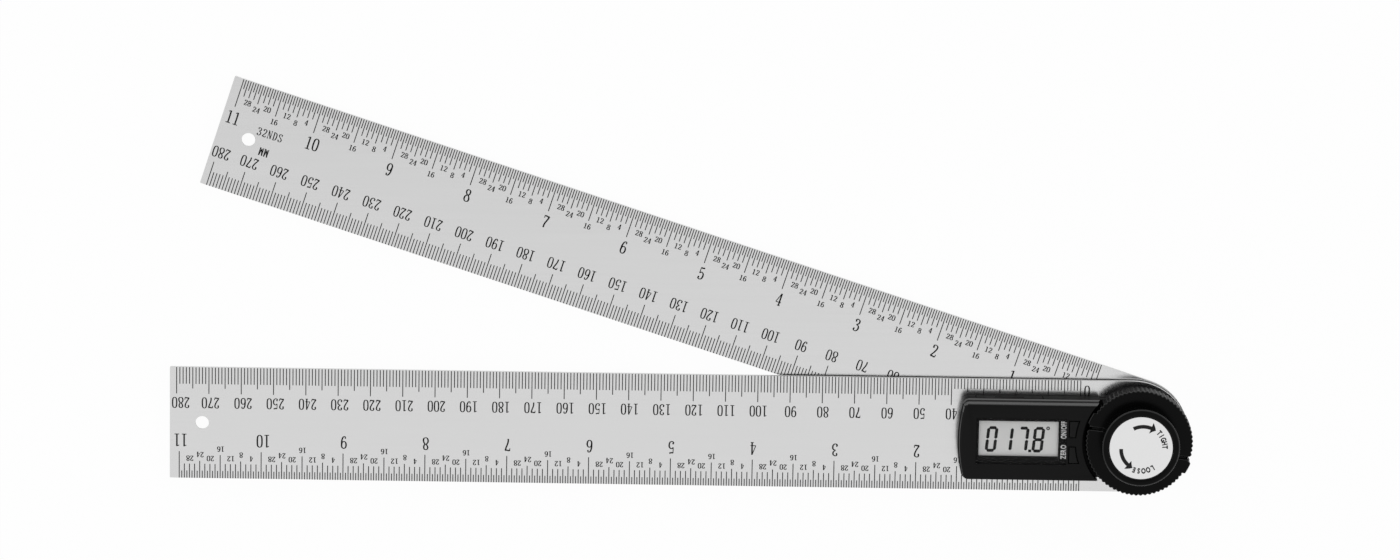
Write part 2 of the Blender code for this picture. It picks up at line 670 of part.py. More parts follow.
def make_display():
    """Window, liquid crystal glass, its holder and the rubber connector down to the board."""
    margin = SEAT_GAP
    half = WINDOW_WIDTH / 2 - margin
    seat = ROOF - WINDOW_DEPTH + margin
    pane = block("display_window", -WINDOW_BACK - WINDOW_LENGTH + margin, -WINDOW_BACK - margin, -half, half,
                 seat, seat + WINDOW_SHEET)
    finish(pane, CLEAR)
    near = VIEW_RISE - GLASS_WIDTH / 2
    far = near + GLASS_WIDTH
    glass = block("display_glass", GLASS_LEFT, GLASS_STEP, near, far, GLASS_LOW, GLASS_TOP)
    fuse(glass, block("ledge", GLASS_STEP - OVERRUN, GLASS_RIGHT, near, far, GLASS_MID, GLASS_TOP))
    finish(glass, PALE)
    make_holder(near, far)
    half_rubber = RUBBER_LENGTH / 2
    rubber = block("rubber_connector", RUBBER_RIGHT - RUBBER_THICKNESS, RUBBER_RIGHT, VIEW_RISE - half_rubber,
                   VIEW_RISE + half_rubber, MOUNT_LEVEL, GLASS_MID - SEAT_GAP)
    finish(rubber, RUBBER)


def make_holder(near, far):
    """A shallow frame under and round the glass, standing on the chassis and on the board."""
    left = GLASS_LEFT - SEAT_GAP - HOLDER_WALL
    right = GLASS_STEP - SEAT_GAP
    low = near - SEAT_GAP - HOLDER_WALL
    high = far + SEAT_GAP + HOLDER_WALL
    holder = block("display_holder", left, right, low, high, HOLDER_LOW, HOLDER_TOP)
    cut(holder, block("room", GLASS_LEFT - SEAT_GAP, right + OVERRUN, near - SEAT_GAP, far + SEAT_GAP,
                      GLASS_LOW - SEAT_GAP, HOLDER_TOP + OVERRUN))
    leg_left = TRAY_LEFT - SEAT_GAP * 2 - RAIL_THICKNESS - HOLDER_LEG
    leg_near = (low + high) / 2 - HOLDER_LEG_LENGTH
    leg_far = leg_near + HOLDER_LEG_LENGTH * 2
    fuse(holder, block("arm", leg_left, left + HOLDER_WALL, leg_near, leg_far, HOLDER_LOW, GLASS_LOW))
    fuse(holder, block("leg", leg_left, leg_left + HOLDER_LEG, leg_near, leg_far, BOARD_LOW, GLASS_LOW))
    leg_right = -BOARD_BACK + HOLDER_LEG_LENGTH
    for edge in (low, high - HOLDER_WALL):
        fuse(holder, block("leg", -BOARD_BACK + SEAT_GAP, leg_right, edge, edge + HOLDER_WALL,
                           MOUNT_LEVEL, HOLDER_LOW + HOLDER_SHEET))
    return finish(holder, BLACK)


def make_chip():
    """The measuring circuit's flat package."""
    half = CHIP_LENGTH / 2
    chip = block("control_chip", CHIP_RIGHT - CHIP_WIDTH, CHIP_RIGHT, -half, half,
                 MOUNT_LEVEL, MOUNT_LEVEL + CHIP_HEIGHT)
    return finish(chip, BLACK)


def make_switch(name, side):
    """A small push switch with a round plunger, under one button."""
    x, y = -(BUTTON_BACK + BUTTON_ARC) / 2, side * BUTTON_OFFSET
    half_width, half_length = SWITCH_WIDTH / 2, SWITCH_LENGTH / 2
    switch = block(name, x - half_width, x + half_width, y - half_length, y + half_length,
                   MOUNT_LEVEL, MOUNT_LEVEL + SWITCH_HEIGHT)
    fuse(switch, disc("plunger", PLUNGER_RADIUS, MOUNT_LEVEL + SWITCH_HEIGHT / 2, PLUNGER_TOP, 16, x, y))
    return finish(switch, STEEL)


def make_button(name, side):
    """A press button: shaped cap through the roof, a flange that keeps it in, and its stem."""
    x, y = -(BUTTON_BACK + BUTTON_ARC) / 2, side * BUTTON_OFFSET
    crown = BUTTON_PROUD / 2
    flange_low = FLANGE_HIGH - BUTTON_FLANGE
    half_width, half_length = STEM_WIDTH / 2, STEM_LENGTH / 2
    outline = button_outline(side, 0.0)
    button = loft(name, [(flange_low, outline), (BUTTON_TOP - crown, outline),
                         (BUTTON_TOP, button_outline(side, -crown))])
    fuse(button, slab("flange", button_outline(side, BUTTON_FLANGE), flange_low, FLANGE_HIGH))
    fuse(button, block("stem", x - half_width, x + half_width, y - half_length, y + half_length,
                       STEM_LOW, FLANGE_HIGH - BUTTON_FLANGE / 2))
    return finish(button, BLACK, None, (x, y, ROOF))


def make_tray():
    """The cell tray: a door in the side wall, a round pocket, a floor with a window and a way
    for the raised contact as the tray slides out."""
    tray = block("cell_tray", TRAY_LEFT, TRAY_RIGHT, TRAY_INNER, HALF_HOUSING, TRAY_LOW, TRAY_TOP)
    floor_top, under = TRAY_LOW + TRAY_FLOOR, TRAY_LOW - OVERRUN
    cut(tray, disc("pocket", POCKET_RADIUS, floor_top, TRAY_TOP + OVERRUN, 64, -CELL_BACK, CELL_Y))
    cut(tray, disc("window", TRAY_WINDOW_RADIUS, under, TRAY_TOP, 32, -CELL_BACK, CELL_Y))
    cut(tray, block("finger_way", FINGER_LEFT - SEAT_GAP, FINGER_RIGHT + SEAT_GAP,
                    TRAY_INNER - OVERRUN, CELL_Y, under, CELL_LOW))
    middle = (TRAY_LOW + TRAY_TOP) / 2
    cut(tray, block("nail_groove", -CELL_BACK - NAIL_LENGTH / 2, -CELL_BACK + NAIL_LENGTH / 2,
                    HALF_HOUSING - NAIL_DEPTH, HALF_HOUSING + OVERRUN, middle - NAIL_WIDTH / 2,
                    middle + NAIL_WIDTH / 2))
    return finish(tray, BLACK, None, (-CELL_BACK, HALF_HOUSING, middle))


def make_cell():
    """The coin cell, slightly smaller at its lower face."""
    rim = CELL_RADIUS - CELL_CHAMFER
    levels = [(CELL_LOW, rim), (CELL_LOW + CELL_CHAMFER, CELL_RADIUS), (CELL_TOP - CELL_CHAMFER, CELL_RADIUS),
              (CELL_TOP, rim)]
    sections = [(level, circle(radius, 48, -CELL_BACK, CELL_Y)) for level, radius in levels]
    origin = (-CELL_BACK, HALF_HOUSING, (TRAY_LOW + TRAY_TOP) / 2)
    return finish(loft("coin_cell", sections), STEEL, None, origin)


def make_contacts():
    """Two bent sheet contacts: one beside the cell, one that rises through the tray's floor."""
    leaf = LEAF_RIGHT - CONTACT_SHEET / 2
    foot = MOUNT_LEVEL + CONTACT_SHEET / 2
    foot_end = -BOARD_BACK + CONTACT_FOOT
    plus = bent_sheet("plus_contact", [(foot_end, foot), (leaf, foot), (leaf, CELL_TOP - SEAT_GAP)],
                      CONTACT_SHEET, CELL_Y - PLUS_WIDTH / 2, CELL_Y + PLUS_WIDTH / 2)
    finish(plus, BRASS)
    run = BOARD_LOW + CONTACT_SHEET / 2
    tip = CELL_LOW - SEAT_GAP - CONTACT_SHEET / 2
    path = [(FINGER_LEFT, tip), (FINGER_FLAT, tip), (FINGER_RIGHT, run), (leaf, run), (leaf, foot),
            (foot_end, foot)]
    minus = bent_sheet("minus_contact", path, CONTACT_SHEET, FINGER_NEAR, FINGER_FAR)
    finish(minus, BRASS)


def make_screws():
    """Four countersunk screws, up through the front arm into the housing's posts."""
    head_low = FRONT_LOW + SCREW_SUNK
    head_top = head_low + SCREW_HEAD_HEIGHT
    levels = [(head_low, SCREW_HEAD_RADIUS), (head_top, SCREW_SHANK_RADIUS),
              (FRONT_LOW + SCREW_LENGTH, SCREW_SHANK_RADIUS)]
    for number, (x, y) in enumerate(screw_places(), 1):
        sections = [(level, circle(radius, 16, x, y)) for level, radius in levels]
        finish(loft(f"housing_screw_{number}", sections), STEEL, None, (x, y, head_low))


def knob_radius(index, inset):
    """The knob's outline: fine teeth all round, broken by two smooth lugs."""
    angle = math.pi * index / TOOTH_COUNT
    from_lug = abs((angle + math.pi / 2) % math.pi - math.pi / 2)
    if from_lug < LUG_HALF_ANGLE:
        return KNOB_RADIUS + LUG_HEIGHT - inset
    return KNOB_RADIUS - TOOTH_DEPTH * (index % 2) - inset


def knob_outline(inset):
    """Points of the toothed outline."""
    count = 2 * TOOTH_COUNT
    points = []
    for i in range(count):
        radius, angle = knob_radius(i, inset), math.pi * i / TOOTH_COUNT
        points.append((radius * math.cos(angle), radius * math.sin(angle)))
    return points


def knob_ribs(knob):
    """Ribs between the hub, the boss wall and the rim, seen from below."""
    rim_inside = KNOB_RADIUS - RIM_WALL + RIM_CHAMFER
    boss_inside = BOSS_RADIUS - BOSS_WALL + RIM_CHAMFER
    hub_inside = HUB_RADIUS - RIM_CHAMFER
    low, middle, high = DECK + RIB_LOW, FLANGE_TOP - FLANGE_SHEET / 2, BOSS_TOP - BOSS_ROOF
    profile = [(hub_inside, low), (rim_inside, low), (rim_inside, middle), (boss_inside, middle),
               (boss_inside, high), (hub_inside, high)]
    for i in range(RIB_COUNT):
        rib = bent_plate("rib", profile, RIB_THICKNESS)
        fuse(knob, spin(rib, 2 * math.pi * (i + 0.5) / RIB_COUNT))


def bent_plate(name, profile, sheet, middle=0.0):
    """An outline in the XZ plane, given a thickness along Y on both sides of its middle."""
    low, high = middle - sheet / 2, middle + sheet / 2
    points = [(x, low, z) for x, z in profile] + [(x, high, z) for x, z in profile]
    count = len(profile)
    faces = [(i, (i + 1) % count, count + (i + 1) % count, count + i) for i in range(count)]
    faces += [tuple(range(count - 1, -1, -1)), tuple(range(count, 2 * count))]
    return mesh_object(name, points, faces)


def knob_boss():
    """The round boss with its rounded upper edge."""
    steps = 72
    sections = [(FLANGE_TOP - FLANGE_SHEET / 2, circle(BOSS_RADIUS, steps))]
    for i in range(5):
        angle = math.pi / 2 * i / 4
        level = BOSS_TOP - BOSS_ROUND * (1 - math.sin(angle))
        sections.append((level, circle(BOSS_RADIUS - BOSS_ROUND * (1 - math.cos(angle)), steps)))
    return loft("boss", sections)


def make_knob(parent):
    """The lock knob: toothed rim, flange, boss, hollow underside with hub and ribs."""
    levels = [(KNOB_LOW, RIM_CHAMFER), (KNOB_LOW + RIM_CHAMFER, 0.0), (FLANGE_TOP - RIM_CHAMFER, 0.0),
              (FLANGE_TOP, RIM_CHAMFER)]
    knob = loft("lock_knob", [(level, knob_outline(inset)) for level, inset in levels])
    fuse(knob, knob_boss())
    rim_inside = KNOB_RADIUS - RIM_WALL
    boss_inside = BOSS_RADIUS - BOSS_WALL
    room = [(HUB_RADIUS, KNOB_LOW - OVERRUN), (rim_inside, KNOB_LOW - OVERRUN),
            (rim_inside, FLANGE_TOP - FLANGE_SHEET), (boss_inside, FLANGE_TOP - FLANGE_SHEET),
            (boss_inside, BOSS_TOP - BOSS_ROOF - BOSS_ROUND), (HUB_RADIUS, BOSS_TOP - BOSS_ROOF - BOSS_ROUND)]
    cut(knob, turned("room", room, 48))
    cut(knob, disc("hub_foot", HUB_RADIUS + SEAT_GAP, KNOB_LOW - OVERRUN, HUB_FOOT))
    knob_ribs(knob)
    cut(knob, disc("insert_bore", HUB_BORE, KNOB_LOW - OVERRUN, INSERT_HIGH + SEAT_GAP, 32))
    cut(knob, disc("stop_bore", STOP_BORE, INSERT_HIGH, BOSS_TOP + OVERRUN, 32))
    cut(knob, disc("label_seat", LABEL_RADIUS + SEAT_GAP, LABEL_SEAT, BOSS_TOP + OVERRUN, 64))
    inner, rim, outside = BOSS_RADIUS + GROOVE_LAND, KNOB_RADIUS - NOTCH_DEPTH, KNOB_RADIUS + OVERRUN
    under, floor, above = KNOB_LOW - OVERRUN, FLANGE_TOP - GROOVE_DEPTH, FLANGE_TOP + OVERRUN
    profile = [(inner, floor), (rim, floor), (rim, under), (outside, under), (outside, above), (inner, above)]
    for turn in (GROOVE_ANGLE, GROOVE_ANGLE + math.pi):
        cut(knob, spin(bent_plate("groove", profile, GROOVE_WIDTH, -GROOVE_OFFSET), turn))
    return finish(knob, BLACK, parent)


def make_knob_stack():
    """What turns with the knob."""
    parent = axis_empty("knob_axis", KNOB_TURN)
    make_knob(parent)
    bore = THREAD_RADIUS + SEAT_GAP
    insert = [(bore, INSERT_LOW), (INSERT_FLANGE_RADIUS, INSERT_LOW), (INSERT_FLANGE_RADIUS, INSERT_SHOULDER),
              (INSERT_RADIUS, INSERT_SHOULDER), (INSERT_RADIUS, INSERT_HIGH), (bore, INSERT_HIGH)]
    finish(turned("knob_insert", insert, 40), BRASS, parent)
    spring = [(bore, SPRING_LOW + SPRING_CONE), (SPRING_RADIUS, SPRING_LOW),
              (SPRING_RADIUS, SPRING_LOW + SPRING_SHEET), (bore, SPRING_TOP)]
    finish(turned("spring_washer", spring, 40), STEEL, parent)
    finish(disc("knob_label", LABEL_RADIUS, LABEL_LOW, LABEL_TOP, 64), WHITE, parent)


def build():
    """Model the whole tool."""
    for item in list(bpy.data.objects):
        bpy.data.objects.remove(item, do_unlink=True)
    make_front_blade()
    make_pivot_stack()
    make_housing()
    make_chassis()
    make_board()
    make_display()
    make_chip()
    make_switch("power_switch", 1)
    make_switch("zero_switch", -1)
    make_button("power_button", 1)
    make_button("zero_button", -1)
    make_tray()
    make_cell()
    make_contacts()
    make_screws()
    make_knob_stack()


build()
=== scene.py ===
# %% [markdown]
# A digital angle finder: two stainless rule arms on one pivot, a black display housing and
# a toothed lock knob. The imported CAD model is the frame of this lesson. It gives every piece
# its place and size, and each cell below dresses one piece or one finish of it.

# %% Load the frame
import math

import bmesh
import bpy
import numpy as np
from mathutils import Matrix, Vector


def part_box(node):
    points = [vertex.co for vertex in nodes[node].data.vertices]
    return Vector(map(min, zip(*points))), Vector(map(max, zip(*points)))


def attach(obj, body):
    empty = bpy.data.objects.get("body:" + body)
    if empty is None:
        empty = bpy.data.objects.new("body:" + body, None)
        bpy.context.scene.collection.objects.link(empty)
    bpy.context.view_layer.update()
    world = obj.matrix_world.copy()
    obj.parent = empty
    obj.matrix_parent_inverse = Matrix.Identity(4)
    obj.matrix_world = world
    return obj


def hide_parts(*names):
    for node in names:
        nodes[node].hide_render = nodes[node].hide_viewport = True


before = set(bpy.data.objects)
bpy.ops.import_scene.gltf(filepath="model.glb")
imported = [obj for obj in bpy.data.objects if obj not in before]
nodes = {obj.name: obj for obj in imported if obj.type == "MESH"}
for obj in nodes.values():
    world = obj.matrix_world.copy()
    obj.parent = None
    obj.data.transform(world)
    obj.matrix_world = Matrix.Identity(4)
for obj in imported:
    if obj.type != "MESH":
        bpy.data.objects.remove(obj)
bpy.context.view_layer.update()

MM = 0.001
OPENING = math.radians(17.8)

# %% [markdown]
# The camera comes first, because every piece is seen through it. A long lens of 160 mm
# stands about 1.9 m away and looks down from the side where the coin cell tray opens, so
# the walls on that side show and higher pieces shift down a little in the picture. The
# place and the turn were fitted to the printed graduations of both arms.

# %% Camera
TILT = [math.radians(v) for v in (10.492, 0.456, -0.869)]
SHIFT = np.array([135.63, -48.64, -1931.03])
LENS_LENGTH = 160
DECK = 5.7 * MM


def camera_turn(angles):
    """Turns about X, then Y, then Z, multiplied into one matrix from the object to the camera."""
    (ca, cb, cc), (sa, sb, sc) = np.cos(angles), np.sin(angles)
    about_x = np.array([[1, 0, 0], [0, ca, -sa], [0, sa, ca]])
    about_y = np.array([[cb, 0, sb], [0, 1, 0], [-sb, 0, cb]])
    about_z = np.array([[cc, -sc, 0], [sc, cc, 0], [0, 0, 1]])
    return about_z @ about_y @ about_x


to_camera = camera_turn(TILT)
lens = bpy.data.cameras.new("camera")
lens.lens = LENS_LENGTH
lens.clip_end = 20
camera = bpy.data.objects.new("camera", lens)
bpy.context.collection.objects.link(camera)
place = Matrix(to_camera.T.tolist()).to_4x4()
place.translation = (-to_camera.T @ SHIFT * MM + np.array([0, 0, DECK])).tolist()
camera.matrix_world = place
bpy.context.scene.camera = camera
print("camera at", [round(v, 3) for v in camera.location])

# %% [markdown]
# A colour is written as the sRGB hex value that the eye sees, and one function turns it to
# the linear value that a shader reads. One more function adds a node with its settings and
# its links, so that a finish reads as a short list of nodes. A finish then starts as a
# Principled shader whose plain values sit on its own sockets.

# %% Colours, nodes and finishes
def linear(code):
    """Each channel of an sRGB hex value goes through the sRGB curve: a straight foot, then a power."""
    parts = np.array([int(code[i:i + 2], 16) for i in (0, 2, 4)]) / 255
    flat = np.where(parts <= 0.04045, parts / 12.92, ((parts + 0.055) / 1.055) ** 2.4)
    return (*flat.tolist(), 1.0)


def add_node(tree, kind, values=(), links=(), **settings):
    """Adds one node with its settings, its socket values and the links into it."""
    node = tree.nodes.new("ShaderNode" + kind)
    for name, value in settings.items():
        setattr(node, name, value)
    for socket, value in dict(values).items():
        node.inputs[socket].default_value = value
    for socket, source in dict(links).items():
        tree.links.new(source, node.inputs[socket])
    return node


def new_finish(name, colour, roughness, **values):
    """Starts a finish: a Principled shader with a colour, a roughness and other plain values."""
    finish = bpy.data.materials.new(name)
    finish.use_nodes = True
    shader = finish.node_tree.nodes["Principled BSDF"]
    shader.inputs["Base Color"].default_value = linear(colour)
    shader.inputs["Roughness"].default_value = roughness
    for socket, value in values.items():
        shader.inputs[socket.replace("_", " ")].default_value = value
    return finish, shader


def grain(finish, shader, cell, turn=0.0, depth=0.0, bump=0.0, rough=None, tones=None):
    """Reads one noise whose cells have real sizes in millimetres, turned about Z. It gives the
    surface its bump of a given depth in millimetres, its roughness range and its two tones."""
    tree = finish.node_tree
    where = add_node(tree, "TexCoord")
    scale = [1 / (size * MM) for size in cell]
    laid = add_node(tree, "Mapping", {"Rotation": (0, 0, turn), "Scale": scale},
                    {"Vector": where.outputs["Object"]})
    noise = add_node(tree, "TexNoise", {"Scale": 1.0, "Detail": 3.0, "Roughness": 0.6},
                     {"Vector": laid.outputs["Vector"]})
    level = noise.outputs["Fac"]
    if bump:
        raised = add_node(tree, "Bump", {"Strength": bump, "Distance": depth * MM}, {"Height": level})
        tree.links.new(raised.outputs["Normal"], shader.inputs["Normal"])
    if rough:
        limits = {"From Min": 0.3, "From Max": 0.7, "To Min": rough[0], "To Max": rough[1]}
        spread = add_node(tree, "MapRange", limits, {"Value": level})
        tree.links.new(spread.outputs["Result"], shader.inputs["Roughness"])
    if tones:
        mixed = add_node(tree, "Mix", {"A": linear(tones[0]), "B": linear(tones[1])},
                         {"Factor": level}, data_type="RGBA")
        tree.links.new(mixed.outputs["Result"], shader.inputs["Base Color"])


print("sRGB d7d7d7 is linear", [round(v, 3) for v in linear("d7d7d7")])

# %% [markdown]
# The arms are stainless steel strip, ground and then satin brushed along their length. The
# eye sees one even pale grey with faint long streaks, and a soft picture of what stands on
# the strip. Real brush lines are about 0.05 mm wide, too fine for this picture, so they are
# drawn 0.5 mm wide and 40 mm long. The rear arm lies turned, so its lines are turned too.
# The sheared edges are rougher, and the turned, plated and brass pieces have finer grain.

# %% Satin stainless steel
def satin_steel(name, turn):
    """Brushed strip whose lines run along the arm: a long thin noise moves roughness and tone."""
    finish, shader = new_finish(name, "d7d7d7", 0.18, Metallic=1.0)
    grain(finish, shader, (40, 0.5, 5), turn, 0.002, 0.12, (0.15, 0.21), ("d5d5d5", "d9d9d9"))
    return finish


front_steel = satin_steel("satin_stainless_front", 0.0)
rear_steel = satin_steel("satin_stainless_rear", OPENING)
edge_steel, shader = new_finish("sheared_steel_edge", "dcdcdc", 0.62, Metallic=1.0)
grain(edge_steel, shader, (0.3, 0.3, 3), 0.0, 0.01, 0.2, (0.56, 0.68), ("d4d4d4", "e2e2e2"))
turned_steel, shader = new_finish("turned_zinc_plated_steel", "c2c2c0", 0.30, Metallic=1.0)
grain(turned_steel, shader, (0.4, 0.4, 0.4), 0.0, 0.004, 0.2, (0.26, 0.38), ("bcbcba", "c9c9c7"))
cell_steel, shader = new_finish("nickel_plated_cell_can", "cfcfcc", 0.2, Metallic=1.0)
grain(cell_steel, shader, (1.5, 1.5, 1.5), 0.0, 0.003, 0.15, (0.16, 0.24), ("c9c9c6", "d4d4d1"))
brass, shader = new_finish("turned_brass", "cba660", 0.28, Metallic=1.0)
grain(brass, shader, (0.5, 0.5, 0.5), 0.0, 0.004, 0.2, (0.24, 0.36), ("c39d57", "d2ae6a"))
metals = (front_steel, rear_steel, edge_steel, turned_steel, cell_steel, brass)
print("metals ready:", [metal.name for metal in metals])

# %% [markdown]
# The housing is moulded ABS from a spark-eroded tool: black, with a fine even grain of about
# 0.15 mm that keeps its faces dark and gives its edges a soft grey line. The knob is the
# same plastic from a smoother tool, so its lines are thinner and brighter, and the buttons
# are a softer black. All grains are shallow, so that they show only close up. The housing's
# rounded edges on the side of the back lamp take a lighter grey, glossier finish, which is a
# painted highlight. The knob's rounded edges are glossier from fingers and a lighter grey,
# which is painted sheen, while the teeth of the knob stay matt.

# %% Black plastics
housing_abs, shader = new_finish("moulded_abs_housing", "171717", 0.3, Specular_IOR_Level=0.05)
grain(housing_abs, shader, (0.15, 0.15, 0.15), 0.0, 0.006, 0.15, (0.27, 0.34), ("141414", "1a1a1a"))
knob_abs, shader = new_finish("moulded_abs_knob", "060606", 0.2, Specular_IOR_Level=0.07)
grain(knob_abs, shader, (0.2, 0.2, 0.2), 0.0, 0.004, 0.1, (0.17, 0.23), ("040404", "090909"))
button_abs, shader = new_finish("soft_moulded_button", "171717", 0.33, Specular_IOR_Level=0.09)
grain(button_abs, shader, (0.2, 0.2, 0.2), 0.0, 0.006, 0.15, (0.3, 0.36), ("141414", "1a1a1a"))
# Painted highlight: a lighter grey, very glossy copy of the housing ABS for its rounded edges on the lamp
# side.
lamp_side_highlight_abs, shader = new_finish("abs_edge_painted_highlight", "262626", 0.24, Specular_IOR_Level=0.95)
grain(lamp_side_highlight_abs, shader, (0.3, 0.3, 0.3), 0.0, 0.004, 0.1, (0.22, 0.28), ("222222", "2a2a2a"))
# Glossier from fingers, and a lighter grey on the knob's rounded edges that is painted sheen.
grip_wear_and_sheen, shader = new_finish("abs_grip_wear_and_painted_sheen", "161616", 0.2, Specular_IOR_Level=0.26)
grain(grip_wear_and_sheen, shader, (0.3, 0.3, 0.3), 0.0, 0.004, 0.1, (0.18, 0.24), ("121212", "1a1a1a"))
knurl_abs, shader = new_finish("matt_moulded_knurl", "080808", 0.3, Specular_IOR_Level=0.02)
grain(knurl_abs, shader, (0.2, 0.2, 0.2), 0.0, 0.004, 0.1, (0.27, 0.33), ("060606", "0b0b0b"))
inner_abs, shader = new_finish("moulded_inner_plastic", "1c1c1c", 0.5, Specular_IOR_Level=0.2)
grain(inner_abs, shader, (0.4, 0.4, 0.4), 0.0, 0.01, 0.2, (0.45, 0.6), ("181818", "222222"))
print("plastics ready:", [m.name for m in (housing_abs, knob_abs, button_abs, inner_abs)])

# %% [markdown]
# The smaller finishes follow. The window is clear polycarbonate: nearly all of it lets light
# through, and only its gloss shows, so a low alpha is a quieter picture than refraction. The
# liquid crystal cell behind it is pale grey, and its segments are a dark grey. The rule's
# marks are etched and filled black.

# %% Window, display, print and inner finishes
window_clear, shader = new_finish("clear_polycarbonate", "1c1d1c", 0.06, Alpha=0.06, Specular_IOR_Level=0.4)
grain(window_clear, shader, (4, 4, 4), 0.0, 0.002, 0.05, (0.05, 0.08))
crystal_cell, shader = new_finish("liquid_crystal_cell", "e4e4e3", 0.35, Specular_IOR_Level=0.3)
grain(crystal_cell, shader, (3, 3, 3), 0.0, 0.0, 0.0, (0.3, 0.4), ("e2e2e1", "e6e6e5"))
segment_dark, shader = new_finish("liquid_crystal_segment", "202020", 0.4, Specular_IOR_Level=0.1)
grain(segment_dark, shader, (0.3, 0.3, 0.3), 0.0, 0.0, 0.0, (0.35, 0.45), ("1d1d1d", "232323"))
rule_ink, shader = new_finish("etched_black_fill", "161616", 0.6, Specular_IOR_Level=0.05)
grain(rule_ink, shader, (0.15, 0.15, 0.15), 0.0, 0.0, 0.0, (0.5, 0.7), ("121212", "1a1a1a"))
white_ink, shader = new_finish("white_pad_print", "e6e6e6", 0.5, Specular_IOR_Level=0.3)
grain(white_ink, shader, (0.3, 0.3, 0.3), 0.0, 0.0, 0.0, (0.45, 0.6), ("dcdcdc", "eeeeee"))
label_vinyl, shader = new_finish("white_vinyl_label", "f0f0f0", 0.4, Specular_IOR_Level=0.3)
grain(label_vinyl, shader, (0.6, 0.6, 0.6), 0.0, 0.003, 0.1, (0.36, 0.46), ("eeeeee", "f2f2f2"))
label_ink, shader = new_finish("black_label_print", "141414", 0.5, Specular_IOR_Level=0.2)
grain(label_ink, shader, (0.3, 0.3, 0.3), 0.0, 0.0, 0.0, (0.45, 0.6), ("101010", "181818"))
white_plastic, shader = new_finish("white_acetal_washer", "e4e4e0", 0.4)
grain(white_plastic, shader, (0.5, 0.5, 0.5), 0.0, 0.004, 0.1, (0.36, 0.46), ("e0e0dc", "e8e8e4"))
board_green, shader = new_finish("green_solder_mask", "2f6f49", 0.35)
grain(board_green, shader, (0.8, 0.8, 0.8), 0.0, 0.006, 0.2, (0.3, 0.42), ("2a6642", "357a52"))
stripe_rubber, shader = new_finish("striped_silicone_rubber", "b4b6ba", 0.8)
grain(stripe_rubber, shader, (8, 0.12, 8), 0.0, 0.0, 0.0, (0.7, 0.9), ("6a6c70", "d8dade"))
print("finishes so far:", len(bpy.data.materials))

# %% [markdown]
# Many CAD nodes already have the right shape, so they only take a finish in their slots.
# The table says which finish each of them wears.

# %% Finishes on CAD nodes
WORN = {
    "friction_washer": white_plastic, "keyed_collar": brass, "sensor_rotor": board_green,
    "housing_chassis": inner_abs, "circuit_board": board_green, "display_window": window_clear,
    "display_glass": crystal_cell, "display_holder": inner_abs, "rubber_connector": stripe_rubber,
    "control_chip": inner_abs, "power_switch": turned_steel, "zero_switch": turned_steel,
    "plus_contact": brass, "minus_contact": brass, "knob_insert": brass, "spring_washer": turned_steel,
    "stop_screw": turned_steel, "housing_screw_1": turned_steel, "housing_screw_2": turned_steel,
    "housing_screw_3": turned_steel, "housing_screw_4": turned_steel,
}
for node, finish in WORN.items():
    for place in nodes[node].material_slots:
        place.material = finish
print("CAD nodes with a new finish:", len(WORN))

# %% [markdown]
# A real edge is never perfectly sharp: the blades are deburred and the mouldings have a
# small radius, and that radius is what catches a line of light. A copy of the CAD node is
# merged, its flat triangles are joined into whole faces, and a bevel rounds the sharp edges
# while it keeps the flats flat. The rounded edges can take a finish of their own, chosen
# by the way that they face; on the housing it is a painted highlight on the lamp side. The
# copy then stands for the node.

# %% Rounded copies of CAD nodes
def hand_over(item, body, slot, *replaced):
    """Gives a finished piece to its body and hides the nodes that it stands for; its slot is not used."""
    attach(item, body)
    if replaced:
        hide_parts(*replaced)
    return item


def second_finish(item, finish, tilt, lowest=-1.0, widest=0.0, side=-1.0):
    """Gives another finish to the faces whose normal has a Z part inside a range and enough of a
    Y part, and that lie high enough and far enough from the pivot axis."""
    mesh = item.data
    mesh.materials.append(finish)
    count = len(mesh.polygons)
    normals, middles = np.empty(count * 3), np.empty(count * 3)
    index = np.empty(count, dtype=np.int32)
    mesh.polygons.foreach_get("normal", normals)
    mesh.polygons.foreach_get("center", middles)
    mesh.polygons.foreach_get("material_index", index)
    far = np.hypot(middles[0::3], middles[1::3]) > widest * MM
    tilted = (normals[2::3] > tilt[0]) & (normals[2::3] < tilt[1]) & (normals[1::3] > side)
    chosen = tilted & far & (middles[2::3] > lowest * MM)
    index = np.where(chosen, len(mesh.materials) - 1, index).astype(np.int32)
    mesh.polygons.foreach_set("material_index", index)


def rounded_copy(node, radius, finish, body, slot, second=None, sides=2, angle=35):
    """Copies a node, merges its corners and rounds each edge sharper than the angle."""
    work = bmesh.new()
    work.from_mesh(nodes[node].data)
    bmesh.ops.remove_doubles(work, verts=work.verts, dist=0.002 * MM)
    bmesh.ops.dissolve_limit(work, angle_limit=math.radians(0.4), verts=work.verts, edges=work.edges)
    mesh = bpy.data.meshes.new(node + "_soft")
    work.to_mesh(mesh)
    work.free()
    mesh.shade_smooth()
    mesh.set_sharp_from_angle(angle=math.radians(angle))
    item = bpy.data.objects.new(node + "_soft", mesh)
    bpy.context.collection.objects.link(item)
    bevel = item.modifiers.new("edge", "BEVEL")
    bevel.width = radius * MM
    bevel.segments = sides
    bevel.limit_method = "ANGLE"
    bevel.angle_limit = math.radians(angle)
    bevel.harden_normals = True
    bpy.context.view_layer.update()
    made = item.evaluated_get(bpy.context.evaluated_depsgraph_get())
    item.data = bpy.data.meshes.new_from_object(made)
    item.modifiers.clear()
    item.data.materials.clear()
    item.data.materials.append(finish)
    if second:
        second_finish(item, *second)
    return hand_over(item, body, slot, node)


